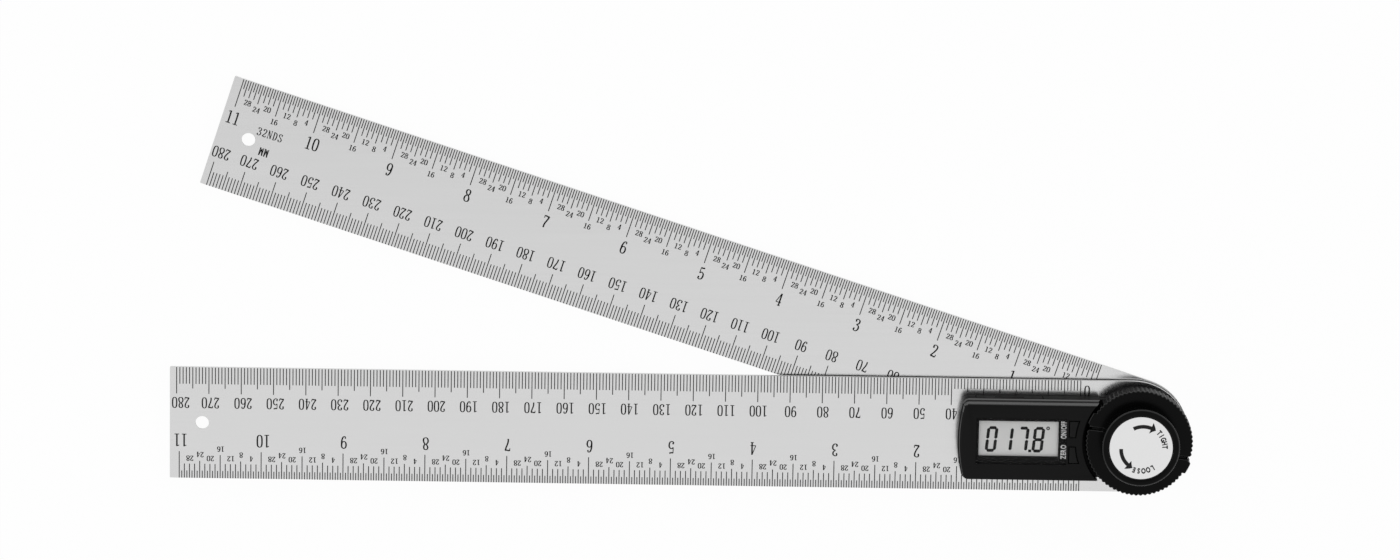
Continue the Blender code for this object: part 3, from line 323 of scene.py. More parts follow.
UPRIGHT, ROUNDED = (-0.5, 0.5), (0.1, 0.985)
SHEARED = (edge_steel, UPRIGHT)
# Painted highlight: rounded faces above 12.1 mm whose normal leans towards +Y, the side of the back lamp,
# take the lighter glossy edge finish.
LAMP_SIDE_HIGHLIGHT = (lamp_side_highlight_abs, ROUNDED, 12.1, 0.0, 0.17)
SOFTENED = [
    ("front_blade", 0.10, front_steel, "front_arm", "rule_steel", SHEARED),
    ("rear_blade", 0.10, rear_steel, "rear_arm", "rule_steel", SHEARED),
    ("pivot_bolt", 0.12, turned_steel, "rear_arm", "bolt_steel"),
    ("display_housing", 0.10, housing_abs, "front_arm", "housing_black", LAMP_SIDE_HIGHLIGHT),
    ("cell_tray", 0.08, housing_abs, "tray", "housing_black"),
    ("power_button", 0.06, button_abs, "power_key", "button_black"),
    ("zero_button", 0.06, button_abs, "zero_key", "button_black"),
]
for row in SOFTENED:
    piece = rounded_copy(*row)
    print(piece.name, len(piece.data.polygons), "faces")

# %% [markdown]
# Round pieces are profiles carried round the pivot axis. The profile is a line of (radius,
# height) points, and the surface is a grid with one row for each step round the axis. Both
# are whole arrays, so a finer piece needs no more code.

# %% Surfaces of revolution
def grid_faces(rows, columns, round_rows=False, round_columns=False):
    """Joins each point of a grid to its neighbours in quads; a round direction closes on itself."""
    row, column = np.meshgrid(np.arange(rows - (not round_rows)), np.arange(columns - (not round_columns)),
                              indexing="ij")
    down, right = (row + 1) % rows, (column + 1) % columns
    corners = [row * columns + column, down * columns + column, down * columns + right, row * columns + right]
    return np.stack(corners, axis=-1).reshape(-1, 4)


def surface(name, points, faces, finish, merge=False, crease=40):
    """Puts arrays of points and faces into a mesh object with smooth faces and sharp creases."""
    mesh = bpy.data.meshes.new(name)
    mesh.from_pydata(points.reshape(-1, 3).tolist(), [], faces.tolist())
    if merge:
        work = bmesh.new()
        work.from_mesh(mesh)
        bmesh.ops.remove_doubles(work, verts=work.verts, dist=0.001 * MM)
        bmesh.ops.recalc_face_normals(work, faces=work.faces)
        work.to_mesh(mesh)
        work.free()
    mesh.shade_smooth()
    mesh.set_sharp_from_angle(angle=math.radians(crease))
    mesh.materials.append(finish)
    item = bpy.data.objects.new(name, mesh)
    bpy.context.collection.objects.link(item)
    return item


def rounded_corner(centre_r, centre_z, radius, start, end, steps=5):
    """Points on a small circle in the profile, from one angle to another in degrees."""
    turn = np.radians(np.linspace(start, end, steps))
    return np.stack([centre_r + radius * np.cos(turn), centre_z + radius * np.sin(turn)], axis=1)


print("a 4 by 3 grid has", len(grid_faces(4, 3)), "faces")

# %% [markdown]
# The lock knob is one moulding: a toothed rim with two smooth lugs, a flat flange with a
# groove on each side, and a round boss that holds the label. It is a closed profile turned
# about the axis. The rim's radius falls between teeth by half a cosine wave, 72 times round,
# and the lugs add a smooth hump. Each groove is straight, passes 2.9 mm beside the centre
# and has sloped lips: the flange is pressed down by a depth that follows that distance.

# %% Lock knob
KNOB_TURN = math.radians(-27)
low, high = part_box("lock_knob")
RIM, BOSS, TOP, FLANGE, FOOT = 16.6, 12.0, high[2] / MM, 15.7, low[2] / MM
TEETH, TOOTH_DEPTH, LUG_HEIGHT, LUG_HALF, LUG_SLOPE = 72, 0.34, 0.55, 7.5, 2.0
GROOVE_ANGLE, GROOVE_ASIDE, GROOVE_DEPTH, NOTCH_DEPTH = 21, 2.9, 0.8, 1.0
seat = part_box("knob_label")[0][2] / MM - 0.3
knob_profile = np.concatenate([
    [[4.1, seat], [8.0, seat], [9.95, seat]],
    rounded_corner(10.07, TOP - 0.12, 0.12, 180, 90, 4),
    rounded_corner(BOSS - 0.5, TOP - 0.5, 0.5, 90, 0, 10),
    [[BOSS, z] for z in (20.0, 18.0, 16.6, FLANGE)],
    [[r, FLANGE] for r in np.linspace(12.3, 16.0, 14)],
    rounded_corner(RIM - 0.3, FLANGE - 0.3, 0.3, 90, 0, 5),
    [[RIM, z] for z in (14.6, 13.5, 12.3, 11.2, 10.2)],
    rounded_corner(RIM - 0.3, FOOT + 0.3, 0.3, 0, -90, 4),
    [[14.8, FOOT], [14.8, 14.1], [10.6, 14.1], [10.6, 20.8], [7.0, 20.8], [7.0, 11.0], [5.3, 11.0],
     [5.3, 18.5], [4.1, 18.5]],
])
STEPS = 1152
angle = np.linspace(0, 2 * np.pi, STEPS, endpoint=False)[:, None]
radius, height = knob_profile[None, :, 0] + 0 * angle, knob_profile[None, :, 1] + 0 * angle
outer = np.clip((radius - 15.9) / 0.3, 0, 1)
from_lug = np.abs((angle + np.pi / 2) % np.pi - np.pi / 2)
lug = np.clip((math.radians(LUG_HALF) - from_lug) / math.radians(LUG_SLOPE), 0, 1)
lug = lug * lug * (3 - 2 * lug)
teeth = (0.5 - 0.5 * np.cos(TEETH * angle)) ** 1.3 * (1 - lug)
radius = radius + outer * (LUG_HEIGHT * lug - TOOTH_DEPTH * teeth)
from_groove = angle - math.radians(GROOVE_ANGLE)
across = np.abs(np.sin(from_groove) * radius + GROOVE_ASIDE * np.sign(np.cos(from_groove)))
groove = np.interp(across, [0.35, 0.45, 0.65], [GROOVE_DEPTH, 0.2, 0.0])
groove = groove * np.clip((radius - 12.1) / 0.1, 0, 1)
height = height - groove * np.clip((height - 15.3) / 0.3, 0, 1)
notch = np.clip((0.52 - across) / 0.12, 0, 1) * outer
radius = radius - NOTCH_DEPTH * notch
turned = angle + KNOB_TURN
points = np.stack([radius * np.cos(turned), radius * np.sin(turned), height], axis=-1) * MM
faces = grid_faces(STEPS, len(knob_profile), True, True)
knob = surface("knob_moulding", points, faces, knob_abs, merge=True, crease=38)
# The knob's rounded upper edges take the glossier edge finish, whose lighter grey is painted sheen.
second_finish(knob, grip_wear_and_sheen, ROUNDED, FLANGE - 0.4)
second_finish(knob, knurl_abs, (-0.3, 0.1), widest=RIM - 1.3)
hand_over(knob, "knob", "knob_black", "lock_knob")
print("knob:", len(knob.data.polygons), "faces, radius", round(float(radius.max()), 2), "mm")

# %% [markdown]
# The label is a thin white vinyl disc let into the boss, with a die-cut edge. The coin cell
# is one plated profile: a narrower step below and the wide can above. Both are open profiles
# that end on the axis, where the doubled points are merged into one pole.

# %% Label and coin cell
def lathe(name, profile, steps, finish, x=0.0, y=0.0):
    """Carries an open profile, whose ends lie on the axis, once round an axis at (x, y)."""
    profile = np.asarray(profile, dtype=float)
    turn = np.linspace(0, 2 * np.pi, steps, endpoint=False)[:, None]
    points = np.stack([x + profile[None, :, 0] * np.cos(turn), y + profile[None, :, 0] * np.sin(turn),
                       profile[None, :, 1] + 0 * turn], axis=-1) * MM
    return surface(name, points, grid_faces(steps, len(profile), True), finish, merge=True)


low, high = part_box("knob_label")
LABEL_FOOT, LABEL_TOP, LABEL_RADIUS, LABEL_EDGE = low[2] / MM, high[2] / MM, 9.72, 0.05
disc = [[0, LABEL_FOOT], [LABEL_RADIUS, LABEL_FOOT], [LABEL_RADIUS, LABEL_TOP - LABEL_EDGE],
        [LABEL_RADIUS - LABEL_EDGE, LABEL_TOP], [5, LABEL_TOP], [0, LABEL_TOP]]
label = lathe("knob_label_disc", disc, 192, label_vinyl)
hand_over(label, "knob", "label_white", "knob_label")
low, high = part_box("coin_cell")
cell_x, cell_y = (low[0] + high[0]) / 2 / MM, (low[1] + high[1]) / 2 / MM
cell_low, cell_top = low[2] / MM, high[2] / MM
cup = np.concatenate([
    [[0, cell_low], [8.2, cell_low]], rounded_corner(8.2, cell_low + 0.3, 0.3, -90, 0, 4),
    [[8.5, cell_low + 0.6], [9.3, cell_low + 0.6]], rounded_corner(9.6, cell_low + 1.0, 0.4, -90, 0, 5),
    rounded_corner(9.6, cell_top - 0.4, 0.4, 0, 90, 5), [[0, cell_top]],
])
cell = lathe("coin_cell_can", cup, 128, cell_steel, cell_x, cell_y)
hand_over(cell, "tray", "cell_steel", "coin_cell")
print("label top", round(LABEL_TOP, 2), "cell", round(cell_x, 1), round(cell_y, 1))

# %% [markdown]
# All print on this tool is made of pen strokes. A stroke is a ribbon laid along a line: half
# of its width goes to each side, and the width grows from thin where the line runs level to
# thick where it runs upright, which is what makes these numerals look like rule numerals.
# A curve runs smoothly through a few control points by cubic weights on four neighbours.

# %% Pen strokes
def smooth(points, steps=5, closed=False):
    """A Catmull-Rom curve: between two points, cubic weights blend them with their two neighbours."""
    points = np.asarray(points, dtype=float)
    if closed:
        ring = np.concatenate([points[-1:], points, points[:2]])
    else:
        ring = np.concatenate([2 * points[:1] - points[1:2], points, 2 * points[-1:] - points[-2:-1]])
    a, b, c, d = (ring[i:len(ring) - 3 + i, None] for i in range(4))
    t = np.linspace(0, 1, steps, endpoint=False)[None, :, None]
    square, cube = 2 * a - 5 * b + 4 * c - d, 3 * b - a - 3 * c + d
    line = 0.5 * (2 * b + (c - a) * t + square * t ** 2 + cube * t ** 3)
    line = line.reshape(-1, 2)
    return line if closed else np.concatenate([line, points[-1:]])


def ribbon(line, thin, thick, closed=False, widths=None):
    """Two edges beside a line. The width is thin plus a share of (thick - thin) that follows
    how upright the line runs."""
    line = np.asarray(line, dtype=float)
    ahead = np.roll(line, -1, 0) - np.roll(line, 1, 0) if closed else np.gradient(line, axis=0)
    ahead /= np.linalg.norm(ahead, axis=1, keepdims=True)
    width = thin + (thick - thin) * np.abs(ahead[:, 1]) ** 1.5 if widths is None else np.asarray(widths)
    side = np.stack([-ahead[:, 1], ahead[:, 0]], axis=1) * width[:, None] / 2
    return np.stack([line - side, line + side], axis=1).reshape(-1, 2), grid_faces(len(line), 2, closed)


def join(parts):
    """Puts several (points, faces) pairs into one pair, with the faces counted on."""
    starts = np.cumsum([0] + [len(points) for points, _ in parts[:-1]])
    return np.concatenate([p for p, _ in parts]), np.concatenate([f + s for (_, f), s in zip(parts, starts)])


def ball(x, y, r):
    """A round blob: a short level stroke as wide at each point as a circle is there."""
    along = np.linspace(-0.92, 0.92, 7) * r
    return ribbon(np.stack([x + along, y + 0 * along], axis=1), 0, 0, widths=2 * np.sqrt(r * r - along ** 2))


print("a ball has", len(ball(0, 0, 1)[1]), "faces")

# %% [markdown]
# The numerals of a steel rule are narrow serif figures. Each is a few strokes in a box one
# unit high: C is a closed pen curve, O an open one, T a thin straight bar, K a thick one, W
# a waved bar and B a ball at the end of a curve. A font could give them too, but Blender's
# own font has no such figures. Six is nine turned half round, so it isn't drawn twice. The
# small figures are the same strokes with a wider pen, under names that start with s.

# %% Rule numerals and letters
FIGURES = {
    "0": [
        ("C", [(0.235, 0.965), (0.09, 0.86), (0.055, 0.5), (0.09, 0.14), (0.235, 0.035),
               (0.38, 0.14), (0.415, 0.5), (0.38, 0.86)]),
    ],
    "1": [
        ("K", [(0.25, 0.02), (0.25, 0.98)]),
        ("T", [(0.07, 0.025), (0.43, 0.025)]),
        ("T", [(0.08, 0.88), (0.25, 0.965)]),
    ],
    "2": [
        ("B", (0.11, 0.77, 0.07)),
        ("O", [(0.08, 0.8), (0.13, 0.93), (0.24, 0.965), (0.38, 0.88), (0.39, 0.7), (0.27, 0.42),
               (0.11, 0.17), (0.06, 0.06)]),
        ("W", [(0.06, 0.07), (0.2, 0.08), (0.34, 0.045), (0.41, 0.07)]),
        ("T", [(0.41, 0.05), (0.43, 0.24)]),
    ],
    "3": [
        ("B", (0.11, 0.8, 0.065)),
        ("O", [(0.08, 0.83), (0.13, 0.94), (0.23, 0.965), (0.37, 0.87), (0.36, 0.66),
               (0.19, 0.53)]),
        ("O", [(0.19, 0.53), (0.38, 0.44), (0.4, 0.2), (0.3, 0.06), (0.2, 0.035), (0.1, 0.08),
               (0.06, 0.18)]),
        ("B", (0.1, 0.2, 0.065)),
    ],
    "4": [
        ("T", [(0.31, 0.98), (0.04, 0.28)]),
        ("T", [(0.03, 0.27), (0.45, 0.27)]),
        ("K", [(0.32, 0.98), (0.32, 0.02)]),
        ("T", [(0.2, 0.025), (0.43, 0.025)]),
    ],
    "5": [
        ("W", [(0.1, 0.93), (0.22, 0.91), (0.33, 0.94), (0.39, 0.95)]),
        ("T", [(0.1, 0.95), (0.085, 0.5)]),
        ("O", [(0.085, 0.5), (0.22, 0.6), (0.37, 0.5), (0.4, 0.3), (0.34, 0.1), (0.2, 0.035),
               (0.1, 0.08), (0.06, 0.18)]),
        ("B", (0.1, 0.2, 0.065)),
    ],
    "7": [
        ("W", [(0.06, 0.92), (0.18, 0.94), (0.3, 0.9), (0.42, 0.93)]),
        ("T", [(0.07, 0.97), (0.06, 0.76)]),
        ("O", [(0.42, 0.93), (0.33, 0.66), (0.23, 0.4), (0.19, 0.2), (0.19, 0.02)]),
    ],
    "8": [
        ("C", [(0.235, 0.965), (0.11, 0.9), (0.09, 0.73), (0.235, 0.53), (0.37, 0.66),
               (0.37, 0.88)]),
        ("C", [(0.235, 0.54), (0.08, 0.4), (0.06, 0.2), (0.14, 0.06), (0.235, 0.035), (0.37, 0.08),
               (0.41, 0.22), (0.36, 0.42)]),
    ],
    "9": [
        ("C", [(0.235, 0.965), (0.1, 0.87), (0.06, 0.68), (0.1, 0.5), (0.22, 0.42), (0.36, 0.5),
               (0.405, 0.7), (0.37, 0.88)]),
        ("O", [(0.405, 0.7), (0.39, 0.36), (0.3, 0.1), (0.18, 0.035), (0.1, 0.1)]),
        ("B", (0.12, 0.15, 0.06)),
    ],
    "N": [
        ("T", [(0.08, 0.02), (0.08, 0.98)]),
        ("K", [(0.09, 0.97), (0.38, 0.03)]),
        ("T", [(0.39, 0.02), (0.39, 0.98)]),
        ("T", [(0.0, 0.025), (0.17, 0.025)]),
        ("T", [(0.3, 0.975), (0.47, 0.975)]),
        ("T", [(0.0, 0.975), (0.12, 0.975)]),
    ],
    "D": [
        ("K", [(0.11, 0.02), (0.11, 0.98)]),
        ("O", [(0.03, 0.965), (0.2, 0.965), (0.35, 0.85), (0.4, 0.5), (0.35, 0.15), (0.2, 0.035),
               (0.03, 0.035)]),
    ],
    "S": [
        ("O", [(0.37, 0.76), (0.33, 0.92), (0.22, 0.965), (0.1, 0.88), (0.1, 0.68), (0.24, 0.52),
               (0.38, 0.34), (0.37, 0.13), (0.24, 0.035), (0.12, 0.08), (0.07, 0.25)]),
        ("T", [(0.38, 0.97), (0.38, 0.74)]),
        ("T", [(0.06, 0.28), (0.06, 0.03)]),
    ],
    "M": [
        ("T", [(0.06, 0.02), (0.06, 0.98)]),
        ("K", [(0.07, 0.97), (0.235, 0.1)]),
        ("T", [(0.4, 0.97), (0.235, 0.1)]),
        ("K", [(0.41, 0.02), (0.41, 0.98)]),
        ("T", [(0.0, 0.025), (0.13, 0.025)]),
        ("T", [(0.32, 0.025), (0.5, 0.025)]),
    ],
}


def figure(strokes, thin=0.065, thick=0.12):
    """Lays every stroke of one figure as a ribbon and centres the figure on its box."""
    parts = []
    for kind, data in strokes:
        if kind == "B":
            parts.append(ball(*data))
        elif kind in "CO":
            parts.append(ribbon(smooth(data, 4, kind == "C"), thin, thick, kind == "C"))
        else:
            width = {"T": thin, "K": thick, "W": 0.11}[kind]
            parts.append(ribbon(data, width, width))
    points, faces = join(parts)
    return points - np.array([0.235, 0.5]), faces


shapes = {name: figure(strokes) for name, strokes in FIGURES.items()}
shapes.update({"s" + name: figure(strokes, 0.09, 0.15) for name, strokes in FIGURES.items()})
for pen in ("", "s"):
    shapes[pen + "6"] = (-shapes[pen + "9"][0], shapes[pen + "9"][1])
print("figures:", "".join(sorted(shapes)), "with", sum(len(f) for _, f in shapes.values()), "faces")

# %% [markdown]
# Each arm carries an inch scale in 32nds along one edge and a millimetre scale along the
# other, both counted from a zero 18 mm before the pivot. Every mark is a thin rectangle
# that starts at the edge. The marks of a scale are worked out at once: places, lengths and
# corners are arrays, and the arm's turn is the last step.

# %% Scale marks
MM_ZERO, INCH_ZERO, EDGE, RISE = 17.91, 17.68, 17.5, 0.015
INCH, MARK_WIDTH = 25.4, 0.28
MM_SPAN, INCH_SPAN = 280, 11


def marks(places, lengths, edge, width):
    """Four corners for each mark: half the width to both sides of its place, from the edge inwards."""
    inward = -math.copysign(1, edge)
    x = np.stack([places - width / 2, places + width / 2, places + width / 2, places - width / 2], axis=1)
    y = edge + inward * np.stack([0 * lengths, 0 * lengths, lengths, lengths], axis=1)
    faces = np.arange(x.size).reshape(-1, 4)
    return np.stack([x, y], axis=-1).reshape(-1, 2), faces if inward > 0 else faces[:, ::-1]


def millimetre_marks(edge, longer, short_first):
    """Marks every millimetre from 0 to 280: the tens are longest, then the fives. Beside the
    display housing they are shorter."""
    count = np.arange(MM_SPAN + 1)
    lengths = longer + np.where(count % 10 == 0, 7.6, np.where(count % 5 == 0, 5.95, 4.5))
    near = np.where(count % 10 == 0, 5.4, np.where(count % 5 == 0, 4.2, 3.2))
    lengths = np.where(short_first & (count < 40), near, lengths)
    return marks(-MM_ZERO - count, lengths, edge, MARK_WIDTH)


def inch_marks(edge, longer):
    """Marks every 1/32 inch from 0 to 11: the length follows the largest fraction that fits."""
    count = np.arange(INCH_SPAN * 32 + 1)
    lengths = np.full(count.shape, 2.4)
    for step, length in ((2, 4.6), (8, 5.5), (16, 7.4), (32, 8.5)):
        lengths = np.where(count % step == 0, length, lengths)
    return marks(-INCH_ZERO - count * INCH / 32, lengths + longer, edge, MARK_WIDTH)


def printed(name, flat, level, turn, finish, body, slot):
    """Lifts a flat drawing in millimetres to its level and turns it about the pivot axis."""
    points, faces = flat
    turned = points @ np.array([[math.cos(turn), math.sin(turn)], [-math.sin(turn), math.cos(turn)]])
    solid = np.column_stack([turned, np.full(len(turned), level)]) * MM
    return hand_over(surface(name, solid, faces, finish), body, slot)


FRONT_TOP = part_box("front_blade")[1][2] / MM
REAR_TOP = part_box("rear_blade")[1][2] / MM
front_marks = join([millimetre_marks(EDGE, 0.75, True), inch_marks(-EDGE, -0.1)])
rear_marks = join([inch_marks(EDGE, 0.55), millimetre_marks(-EDGE, 0.0, False)])
printed("front_scale_marks", front_marks, FRONT_TOP + RISE, 0.0, rule_ink, "front_arm", "rule_steel")
printed("rear_scale_marks", rear_marks, REAR_TOP + RISE, -OPENING, rule_ink, "rear_arm", "rule_steel")
print("marks on each arm:", len(front_marks[1]), len(rear_marks[1]))

# %% [markdown]
# The numerals stand beside their marks, slightly towards the pivot. A short table holds
# every word to be printed, and each figure is then copied to all its places in one step by
# adding the array of places to the array of its points.

# %% Scale numerals
MM_ROW = {"tall": 3.5, "pitch": 1.92, "stretch": 1.0}
INCH_ROW = {"tall": 4.05, "pitch": 2.25, "stretch": 1.0}
ZERO_ROW = {"tall": 3.55, "pitch": 1.83, "stretch": 1.05}
SMALL_ROW = {"tall": 1.7, "pitch": 1.2, "stretch": 1.3, "pen": "s"}
SMALL_DEEP = {4: 6.7, 12: 6.7, 20: 6.7, 28: 6.7, 8: 7.9, 24: 7.9, 16: 9.7}


def lay(rows, text, x, y, way, tall, pitch, stretch, pen=""):
    """Adds the figures of one number, centred at (x, y); way -1 turns it upside down."""
    first = -(len(text) - 1) / 2
    for i, sign in enumerate(text):
        rows.append((pen + sign, x + way * (first + i) * pitch, y, tall, stretch, way))


def set_figures(rows):
    """Copies each figure to its places: point times height and way, plus place."""
    parts = []
    for sign in sorted({row[0] for row in rows}):
        x, y, tall, stretch, way = np.array([row[1:] for row in rows if row[0] == sign]).T
        points, faces = shapes[sign]
        scale = np.stack([way * tall * stretch, way * tall], axis=1)[:, None]
        placed = points[None] * scale + np.stack([x, y], axis=1)[:, None]
        shift = np.arange(len(x))[:, None, None] * len(points)
        parts.append((placed.reshape(-1, 2), (faces[None] + shift).reshape(-1, 4)))
    return join(parts)


def number_rows(inch_edge, inch_way, mm_edge, mm_way, zero_near, nudge, deeper, closer):
    """All numbers of one arm: millimetre tens, inches and the small 32nds between them. A nudge
    moves the tens towards the pivot, and either row can lie a little deeper or closer."""
    rows = []
    mm_in, inch_in = -math.copysign(1, mm_edge), -math.copysign(1, inch_edge)
    for value in range(10 if zero_near else 0, MM_SPAN + 1, 10):
        x = -MM_ZERO - value + {280: 1.31, 270: 0.4 + nudge / 5}.get(value, 0.07 + nudge * value / MM_SPAN)
        lay(rows, str(value), x, mm_edge + mm_in * (10.9 + deeper), mm_way, **MM_ROW)
    if zero_near:
        lay(rows, "0", -15.9, mm_edge + mm_in * 3.35, mm_way, **ZERO_ROW)
    for value in range(INCH_SPAN + 1):
        x = -INCH_ZERO - value * INCH
        aside = {10: 0.65, 11: 0.45}.get(value, 0.22)
        lay(rows, str(value), x + aside, inch_edge + inch_in * (12.4 - closer), inch_way, **INCH_ROW)
        for part in range(4, 32, 4) if value < INCH_SPAN else ():
            deep = SMALL_DEEP[part]
            spot = x + 0.15 - part * INCH / 32
            lay(rows, str(part), spot, inch_edge + inch_in * (deep - closer), inch_way, **SMALL_ROW)
    return rows


front_rows = number_rows(-EDGE, -1, EDGE, -1, True, 0.6, 0.3, 0.5)
rear_rows = number_rows(EDGE, 1, -EDGE, -1, False, 0.0, 0.0, 0.0)
lay(rear_rows, "32NDS", -284.2, 3.6, 1, tall=2.55, pitch=1.68, stretch=1.15)
lay(rear_rows, "MM", -284.3, -2.3, -1, tall=2.5, pitch=1.6, stretch=1.1, pen="s")
front_figures, rear_figures = set_figures(front_rows), set_figures(rear_rows)
printed("front_scale_numerals", front_figures, FRONT_TOP + RISE, 0.0, rule_ink, "front_arm", "rule_steel")
printed("rear_scale_numerals", rear_figures, REAR_TOP + RISE, -OPENING, rule_ink, "rear_arm", "rule_steel")
print("figures set:", len(front_rows), "and", len(rear_rows))

# %% [markdown]
# The display shows four leaning seven-segment digits, a point and a degree ring. A segment
# is a stroke with pointed ends, and a digit is the list of its lit segments. The lean moves
# each point to the right in proportion to its height.

# %% Display digits
SEGMENTS = {"a": (0, 1, 1, 1), "b": (1, 1, 1, 0.5), "c": (1, 0.5, 1, 0), "d": (0, 0, 1, 0),
            "e": (0, 0.5, 0, 0), "f": (0, 1, 0, 0.5), "g": (0, 0.5, 1, 0.5)}
LIT = {"0": "abcdef", "1": "bc", "7": "abc", "8": "abcdefg"}
WIDE, TALL, STROKE, LEAN = 2.5, 7.15, 0.95, math.tan(math.radians(5.6))
DIGIT_LEFT, DIGIT_FOOT, DIGIT_STEP = -47.2, -3.25, 4.82
RING_X, RING_Y, RING_RADIUS, RING_STROKE = -28.2, 3.95, 0.4, 0.34
POINT_LEFT, POINT_RIGHT, POINT_TALL = -34.2, -33.25, 0.85


def segment(x0, y0, x1, y1):
    """A bar between two corners of the digit with a small gap and a pointed tip at each end."""
    start, end = np.array([x0 * WIDE, y0 * TALL]), np.array([x1 * WIDE, y1 * TALL])
    step = (end - start) / np.linalg.norm(end - start)
    line = np.array([start + step * 0.10, start + step * 0.42, end - step * 0.42, end - step * 0.10])
    return ribbon(line, 0, 0, widths=[0.12, STROKE, STROKE, 0.12])


def digit(sign, x, y):
    """The lit segments of one digit, leaned and moved to its place."""
    points, faces = join([segment(*SEGMENTS[key]) for key in LIT[sign]])
    return points + np.stack([x + points[:, 1] * LEAN, np.full(len(points), y)], axis=1), faces


turn = np.linspace(0, 2 * np.pi, 16, endpoint=False)
ring = np.stack([RING_X + RING_RADIUS * np.cos(turn), RING_Y + RING_RADIUS * np.sin(turn)], axis=1)
degree = ribbon(ring, RING_STROKE, RING_STROKE, True)
point = ribbon([(POINT_LEFT, DIGIT_FOOT), (POINT_RIGHT, DIGIT_FOOT)], POINT_TALL, POINT_TALL)
digits = [digit(sign, DIGIT_LEFT + i * DIGIT_STEP, DIGIT_FOOT) for i, sign in enumerate("0178")]
shown = join(digits + [degree, point])
GLASS_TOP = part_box("display_glass")[1][2] / MM
printed("display_segments", shown, GLASS_TOP + RISE, 0.0, segment_dark, "front_arm", "display_glass")
print("display faces:", len(shown[1]), "at height", round(GLASS_TOP, 2))

# %% [markdown]
# The words on the housing and on the label are plain function lettering. Blender's own font
# gives the letters, and each is turned into a mesh and read into arrays before its place is
# applied, so that a word can be narrow, spaced by a given gap or bent round a circle.

# %% Letters from the built-in font
def letter(sign, bolder=0.03):
    """One letter as flat points and triangles, scaled so that a capital is one unit high."""
    curve = bpy.data.curves.new("letter", "FONT")
    curve.body = sign
    curve.offset = bolder
    item = bpy.data.objects.new("letter", curve)
    bpy.context.collection.objects.link(item)
    bpy.context.view_layer.update()
    mesh = bpy.data.meshes.new_from_object(item.evaluated_get(bpy.context.evaluated_depsgraph_get()))
    mesh.calc_loop_triangles()
    points = np.empty(len(mesh.vertices) * 3)
    mesh.vertices.foreach_get("co", points)
    faces = np.empty(len(mesh.loop_triangles) * 3, dtype=int)
    mesh.loop_triangles.foreach_get("vertices", faces)
    bpy.data.objects.remove(item, do_unlink=True)
    points = points.reshape(-1, 3)[:, :2]
    middle = (points.min(axis=0) + points.max(axis=0)) / 2
    return (points - middle) / CAPITAL, faces.reshape(-1, 3)


CAPITAL = 1.0
CAPITAL = float(np.ptp(letter("E")[0][:, 1]))
letters = {sign: letter(sign) for sign in "ONFZERTIGHLS/"}
bold = {sign: letter(sign, 0.05) for sign in "TIGHLOSE"}
print("capital height", round(CAPITAL, 3), "letters", len(letters))

# %% [markdown]
# Beside the window the recess floor carries the names of the two buttons in white pad
# print, one letter high and read along the housing's width. The letters lie just above
# the floor, as ink does, and a row of letters is placed by its widths.

# %% Words on the housing
def word(text, x, y, tall, wide, turn, gap):
    """Letters in a row along the direction turn, spaced by their own widths plus a gap."""
    widths = np.array([np.ptp(letters[sign][0][:, 0]) * wide for sign in text])
    along = np.cumsum(widths + gap) - widths / 2 - gap
    along -= (widths.sum() + gap * (len(text) - 1)) / 2
    matrix = np.array([[math.cos(turn), math.sin(turn)], [-math.sin(turn), math.cos(turn)]])
    parts = []
    for sign, place in zip(text, along):
        points, faces = letters[sign]
        parts.append(((points * [wide, tall] + [place, 0]) @ matrix + [x, y], faces))
    return join(parts)


WORD_X, WORD_TALL = -23.38, 1.7
words = join([word("ON/OFF", WORD_X, 3.66, WORD_TALL, 1.04, math.pi / 2, 0.12),
              word("ZERO", WORD_X, -3.3, WORD_TALL, 1.17, math.pi / 2, 0.14)])
recess_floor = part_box("display_window")[0][2] / MM - 0.3
printed("housing_words", words, recess_floor + RISE, 0.0, white_ink, "front_arm", "label_white")
print("words on the recess floor at", round(recess_floor, 2), "mm")

# %% [markdown]
# The label shows which way the knob clamps: two bent arrows, each with its word on the
# same circle. The letters of a word are placed one by one, each turned so that its head
# points outwards. An arrow is a ribbon with widths of its own, even along the shaft and
# falling to a point along the head, because a straight arrow bent later would be uneven.

# %% Print on the label
def round_word(text, start, end, radius, tall, wide):
    """Letters on a circle, heads outwards: each is turned and put at its own angle."""
    parts = []
    for sign, at in zip(text, np.radians(np.linspace(start, end, len(text)))):
        points, faces = bold[sign]
        turn = at - math.pi / 2
        matrix = np.array([[math.cos(turn), math.sin(turn)], [-math.sin(turn), math.cos(turn)]])
        centre = radius * np.array([math.cos(at), math.sin(at)])
        parts.append(((points * [wide, tall]) @ matrix + centre, faces))
    return join(parts)


def round_arrow(tail, neck, tip, tail_radius, tip_radius, shaft, head):
    """A shaft along an arc that opens a little, and a head whose width falls evenly to the tip."""
    parts = []
    for start, end, widths in ((tail, neck, np.full(17, shaft)), (neck, tip, np.linspace(head, 0.05, 17))):
        turn = np.linspace(start, end, 17)
        radius = np.interp((turn - tail) / (tip - tail), [0, 1], [tail_radius, tip_radius])
        turn = np.radians(turn)
        line = np.stack([radius * np.cos(turn), radius * np.sin(turn)], axis=1)
        parts.append(ribbon(line, 0, 0, widths=widths))
    return join(parts)


def triangles(flat):
    """Cuts quads into triangles, so that they join with letters."""
    points, faces = flat
    return points, np.concatenate([faces[:, [0, 1, 2]], faces[:, [0, 2, 3]]])


label_print = join([triangles(round_arrow(112.5, 65, 52, 6.55, 7.08, 1.15, 3.6)),
                    triangles(round_arrow(183, 233, 248, 6.15, 6.68, 1.15, 3.3)),
                    round_word("TIGHT", 42.0, 3.5, 7.35, 1.65, 1.2),
                    round_word("LOOSE", -59, -106.5, 7.15, 1.65, 1.2)])
printed("label_print", label_print, LABEL_TOP + RISE, 0.0, label_ink, "knob", "label_white")
print("label print faces:", len(label_print[1]))

# %% [markdown]
# The tool lies on a plain white table under an even sky. What the camera, a reflection or
# glass sees of the table and the world is plain white, while the light that they give is
# lower, so the colours stay as they are written. The floor keeps a faint shadow, because
# a twentieth of what is seen there is lit paint. Above the tool, where the camera stands,
# the sky is dim, which keeps the faces that look up from shining.
# Two soft boxes, one behind and one at the left, draw the light lines on the edges.

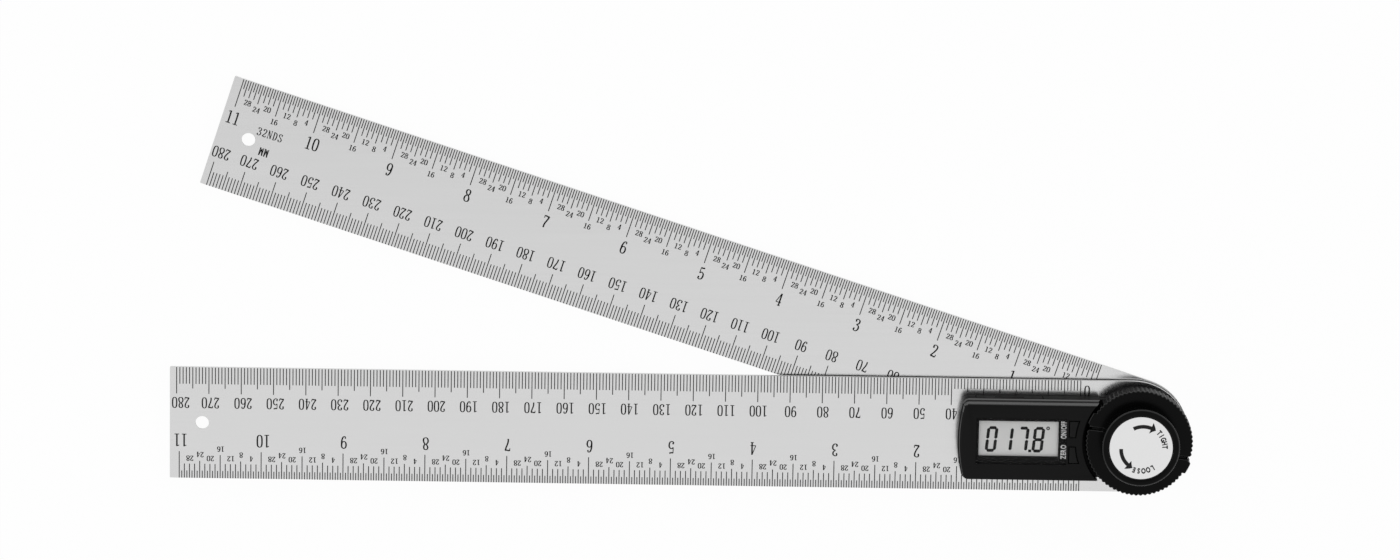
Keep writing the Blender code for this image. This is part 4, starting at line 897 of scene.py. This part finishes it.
# %% Floor, world and lamps
LIGHT_LEVEL, OWN_WHITE, TABLE_REACH = 0.81, 0.95, 3.0
DIM_WAY, DIM_OUTER, DIM_INNER, DIM_LEVEL = (0.0, 0.21, 0.978), 21, 8, 0.1


def seen_share(tree):
    """1 for rays that see the surroundings: camera, glossy and transmission rays."""
    path = add_node(tree, "LightPath")
    seen = path.outputs["Is Camera Ray"]
    for output in ("Is Glossy Ray", "Is Transmission Ray"):
        either = add_node(tree, "Math", links={0: seen, 1: path.outputs[output]}, operation="MAXIMUM")
        seen = either.outputs[0]
    return seen


floor_paint = bpy.data.materials.new("white_table")
floor_paint.use_nodes = True
tree = floor_paint.node_tree
tree.nodes.clear()
matt = add_node(tree, "BsdfDiffuse", {"Color": linear("f8f8f8")})
glow = add_node(tree, "Emission", {"Color": (1, 1, 1, 1), "Strength": 1.0})
share = add_node(tree, "Math", {1: OWN_WHITE}, {0: seen_share(tree)}, operation="MULTIPLY")
blend = add_node(tree, "MixShader", links={0: share.outputs[0], 1: matt.outputs[0], 2: glow.outputs[0]})
add_node(tree, "OutputMaterial", links={"Surface": blend.outputs[0]})
corners = np.array([[-1, -1, 0], [1, -1, 0], [1, 1, 0], [-1, 1, 0]]) * TABLE_REACH
table = surface("table", corners, np.array([[0, 1, 2, 3]]), floor_paint)

world = bpy.data.worlds.new("studio")
bpy.context.scene.world = world
world.use_nodes = True
tree = world.node_tree
tree.nodes.clear()
way = add_node(tree, "TexCoord").outputs["Generated"]
toward = add_node(tree, "VectorMath", {1: DIM_WAY}, {0: way}, operation="DOT_PRODUCT")
limits = {"From Min": math.cos(math.radians(DIM_OUTER)), "From Max": math.cos(math.radians(DIM_INNER)),
          "To Min": 1.0, "To Max": DIM_LEVEL}
dim = add_node(tree, "MapRange", limits, {"Value": toward.outputs["Value"]})
level = add_node(tree, "MapRange", {"To Min": LIGHT_LEVEL},
                 {"Value": seen_share(tree), "To Max": dim.outputs["Result"]})
sky = add_node(tree, "Background", {"Color": (1, 1, 1, 1)}, {"Strength": level.outputs["Result"]})
add_node(tree, "OutputWorld", links={"Surface": sky.outputs[0]})


def lamp(name, place, aim, width, depth, radiance):
    """A soft box: its power is radiance times pi times its area, so its look doesn't follow its size."""
    light = bpy.data.lights.new(name, "AREA")
    light.shape = "RECTANGLE"
    light.size, light.size_y = width, depth
    light.energy = radiance * math.pi * width * depth
    item = bpy.data.objects.new(name, light)
    bpy.context.collection.objects.link(item)
    item.location = place
    towards = Matrix.Translation(aim).translation - item.location
    item.rotation_euler = towards.to_track_quat("-Z", "Y").to_euler()
    item.visible_camera = False
    return item


lamp("soft_box_back", (-0.22, 1.30, 0.60), (-0.10, 0, 0), 1.6, 0.9, 0.28)
lamp("soft_box_left", (-1.10, 0.10, 0.90), (-0.10, 0, 0), 0.9, 0.9, 0.28)
bpy.context.scene.view_settings.view_transform = "Standard"
